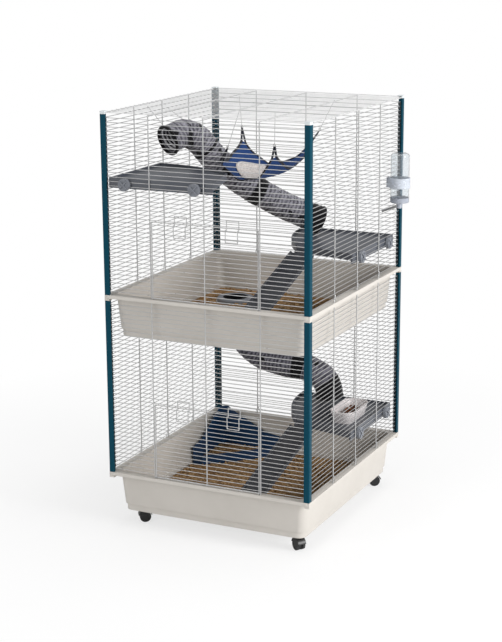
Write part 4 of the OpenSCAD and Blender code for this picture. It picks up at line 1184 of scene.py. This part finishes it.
def post_comb(name, corner_x, corner_y, rim):
    """The dark toothed strip inside a corner post that the cross wires clip into."""
    work = bmesh.new()
    sx, sy = math.copysign(1, corner_x), math.copysign(1, corner_y)
    for i in range(COMB_TEETH):
        z = rim + WIRE_FIRST + WIRE_PITCH * (i + 0.5)
        for in_x, in_y, w, d in ((TOOTH_FAR, TOOTH_NEAR, TOOTH_THIN, TOOTH_WIDE),
                                 (TOOTH_NEAR, TOOTH_FAR, TOOTH_WIDE, TOOTH_THIN)):
            tooth = bmesh.ops.create_cube(work, size=1.0)["verts"]
            bmesh.ops.scale(work, vec=(w * MM, d * MM, TOOTH_TALL * MM), verts=tooth)
            bmesh.ops.translate(work, vec=at(corner_x - sx * in_x, corner_y - sy * in_y, z), verts=tooth)
    bmesh.ops.bevel(work, geom=work.edges[:], offset=0.5 * MM, offset_type="OFFSET", segments=1, profile=0.5,
                    affect="EDGES", material=-1)
    return piece(name, work, plastic["comb"], "cage")


for storey, rim_z in (("lower", BASE_RIM), ("upper", MID_RIM)):
    for tag, sx, sy in (("fl", -1, -1), ("fr", 1, -1), ("rl", -1, 1), ("rr", 1, 1)):
        post_comb(f"{storey}_comb_{tag}", sx * POST_X, sy * POST_Y, rim_z)

# ---- Stage ----

def looked_at(tree):
    """1 where the camera looks, also through clear plastic."""
    path = add(tree, "LightPath").outputs
    return math_node(tree, "MAXIMUM", path["Is Camera Ray"], path["Is Transmission Ray"])


def floor_look():
    """Pale floor. The camera sees it white, with the object's shadow kept close round it."""
    material = bpy.data.materials.new("pale_floor")
    material.use_nodes = True
    tree = material.node_tree
    tree.nodes.clear()
    place = tree.nodes.new("ShaderNodeTexCoord").outputs["Object"]
    mottle = cloudy(tree, place, 2.0, 3.0)
    away = add(tree, "VectorMath", {0: place}, operation="LENGTH").outputs["Value"]
    share = ramp(tree, math_node(tree, "DIVIDE", away, 2.4), (0.22, grey(0.70)), (0.85, grey(1.0)))
    colour = blend_colours(tree, mottle, grey(0.86), grey(0.90))
    cast = add(tree, "BsdfDiffuse", {"Color": colour})
    glow = add(tree, "Emission", {"Color": grey(1.0), "Strength": 1.0})
    glowing = times(tree, looked_at(tree), share)
    mix = add(tree, "MixShader", {0: glowing, 1: cast.outputs[0], 2: glow.outputs[0]})
    add(tree, "OutputMaterial", {"Surface": mix.outputs[0]}, is_active_output=True)
    return material


studio_floor = stand("studio_floor", plain_mesh("studio_floor", flat_grid(4, 4, size=14.0)))
studio_floor.data.materials.append(floor_look())
studio_floor.location.z = -0.0005


def studio_world():
    """Soft grey surround. Where the camera or clear plastic looks out, it is white."""
    world = bpy.data.worlds.new("studio_world")
    bpy.context.scene.world = world
    world.use_nodes = True
    tree = world.node_tree
    tree.nodes.clear()
    lit = add(tree, "Background", {"Color": grey(1.0), "Strength": 0.42})
    white = add(tree, "Background", {"Color": grey(1.0), "Strength": 1.0})
    mix = add(tree, "MixShader", {0: looked_at(tree), 1: lit.outputs[0], 2: white.outputs[0]})
    add(tree, "OutputWorld", {"Surface": mix.outputs[0]})


studio_world()


def soft_box(name, place, aim, size, power):
    """A large soft lamp that looks at a point."""
    lamp = bpy.data.lights.new(name, "AREA")
    lamp.shape, lamp.size, lamp.energy = "DISK", size, power
    made = stand(name, lamp)
    made.location = place
    made.rotation_mode = "QUATERNION"
    made.rotation_quaternion = (Vector(aim) - Vector(place)).to_track_quat("-Z", "Y")


soft_box("key_right", (4.6, -0.6, 2.2), (0, 0, 0.7), 2.4, 215)
soft_box("fill_front", (-1.6, -4.6, 2.2), (0, 0, 0.7), 2.6, 62)
soft_box("top", (0.2, 0.2, 4.4), (0, 0, 0), 3.0, 62)

# ---- Camera ----

# The camera as fitted to the photo
PHOTO = (502, 642)
FOCAL_PX = 1603.26
SENSOR = 36.0
YAW, PITCH, ROLL = -0.446667, 0.247948, -0.005480
camera_data = bpy.data.cameras.new("photo_camera")
camera_data.sensor_width = SENSOR
camera_data.lens = FOCAL_PX * SENSOR / max(PHOTO)
camera_data.clip_start, camera_data.clip_end = 0.1, 60
camera = stand("photo_camera", camera_data)
ahead = Vector((math.sin(YAW) * math.cos(PITCH), math.cos(YAW) * math.cos(PITCH), -math.sin(PITCH)))
level = Vector((math.cos(YAW), -math.sin(YAW), 0))
above = level.cross(ahead)
picture_right = math.cos(ROLL) * level + math.sin(ROLL) * above
picture_up = -math.sin(ROLL) * level + math.cos(ROLL) * above
camera.rotation_mode = "QUATERNION"
camera.rotation_quaternion = Matrix((picture_right, picture_up, -ahead)).transposed().to_quaternion()
camera.location = (2.31197, -4.95383, 2.06811)
bpy.context.scene.camera = camera
bpy.context.scene.view_settings.view_transform = "Standard"
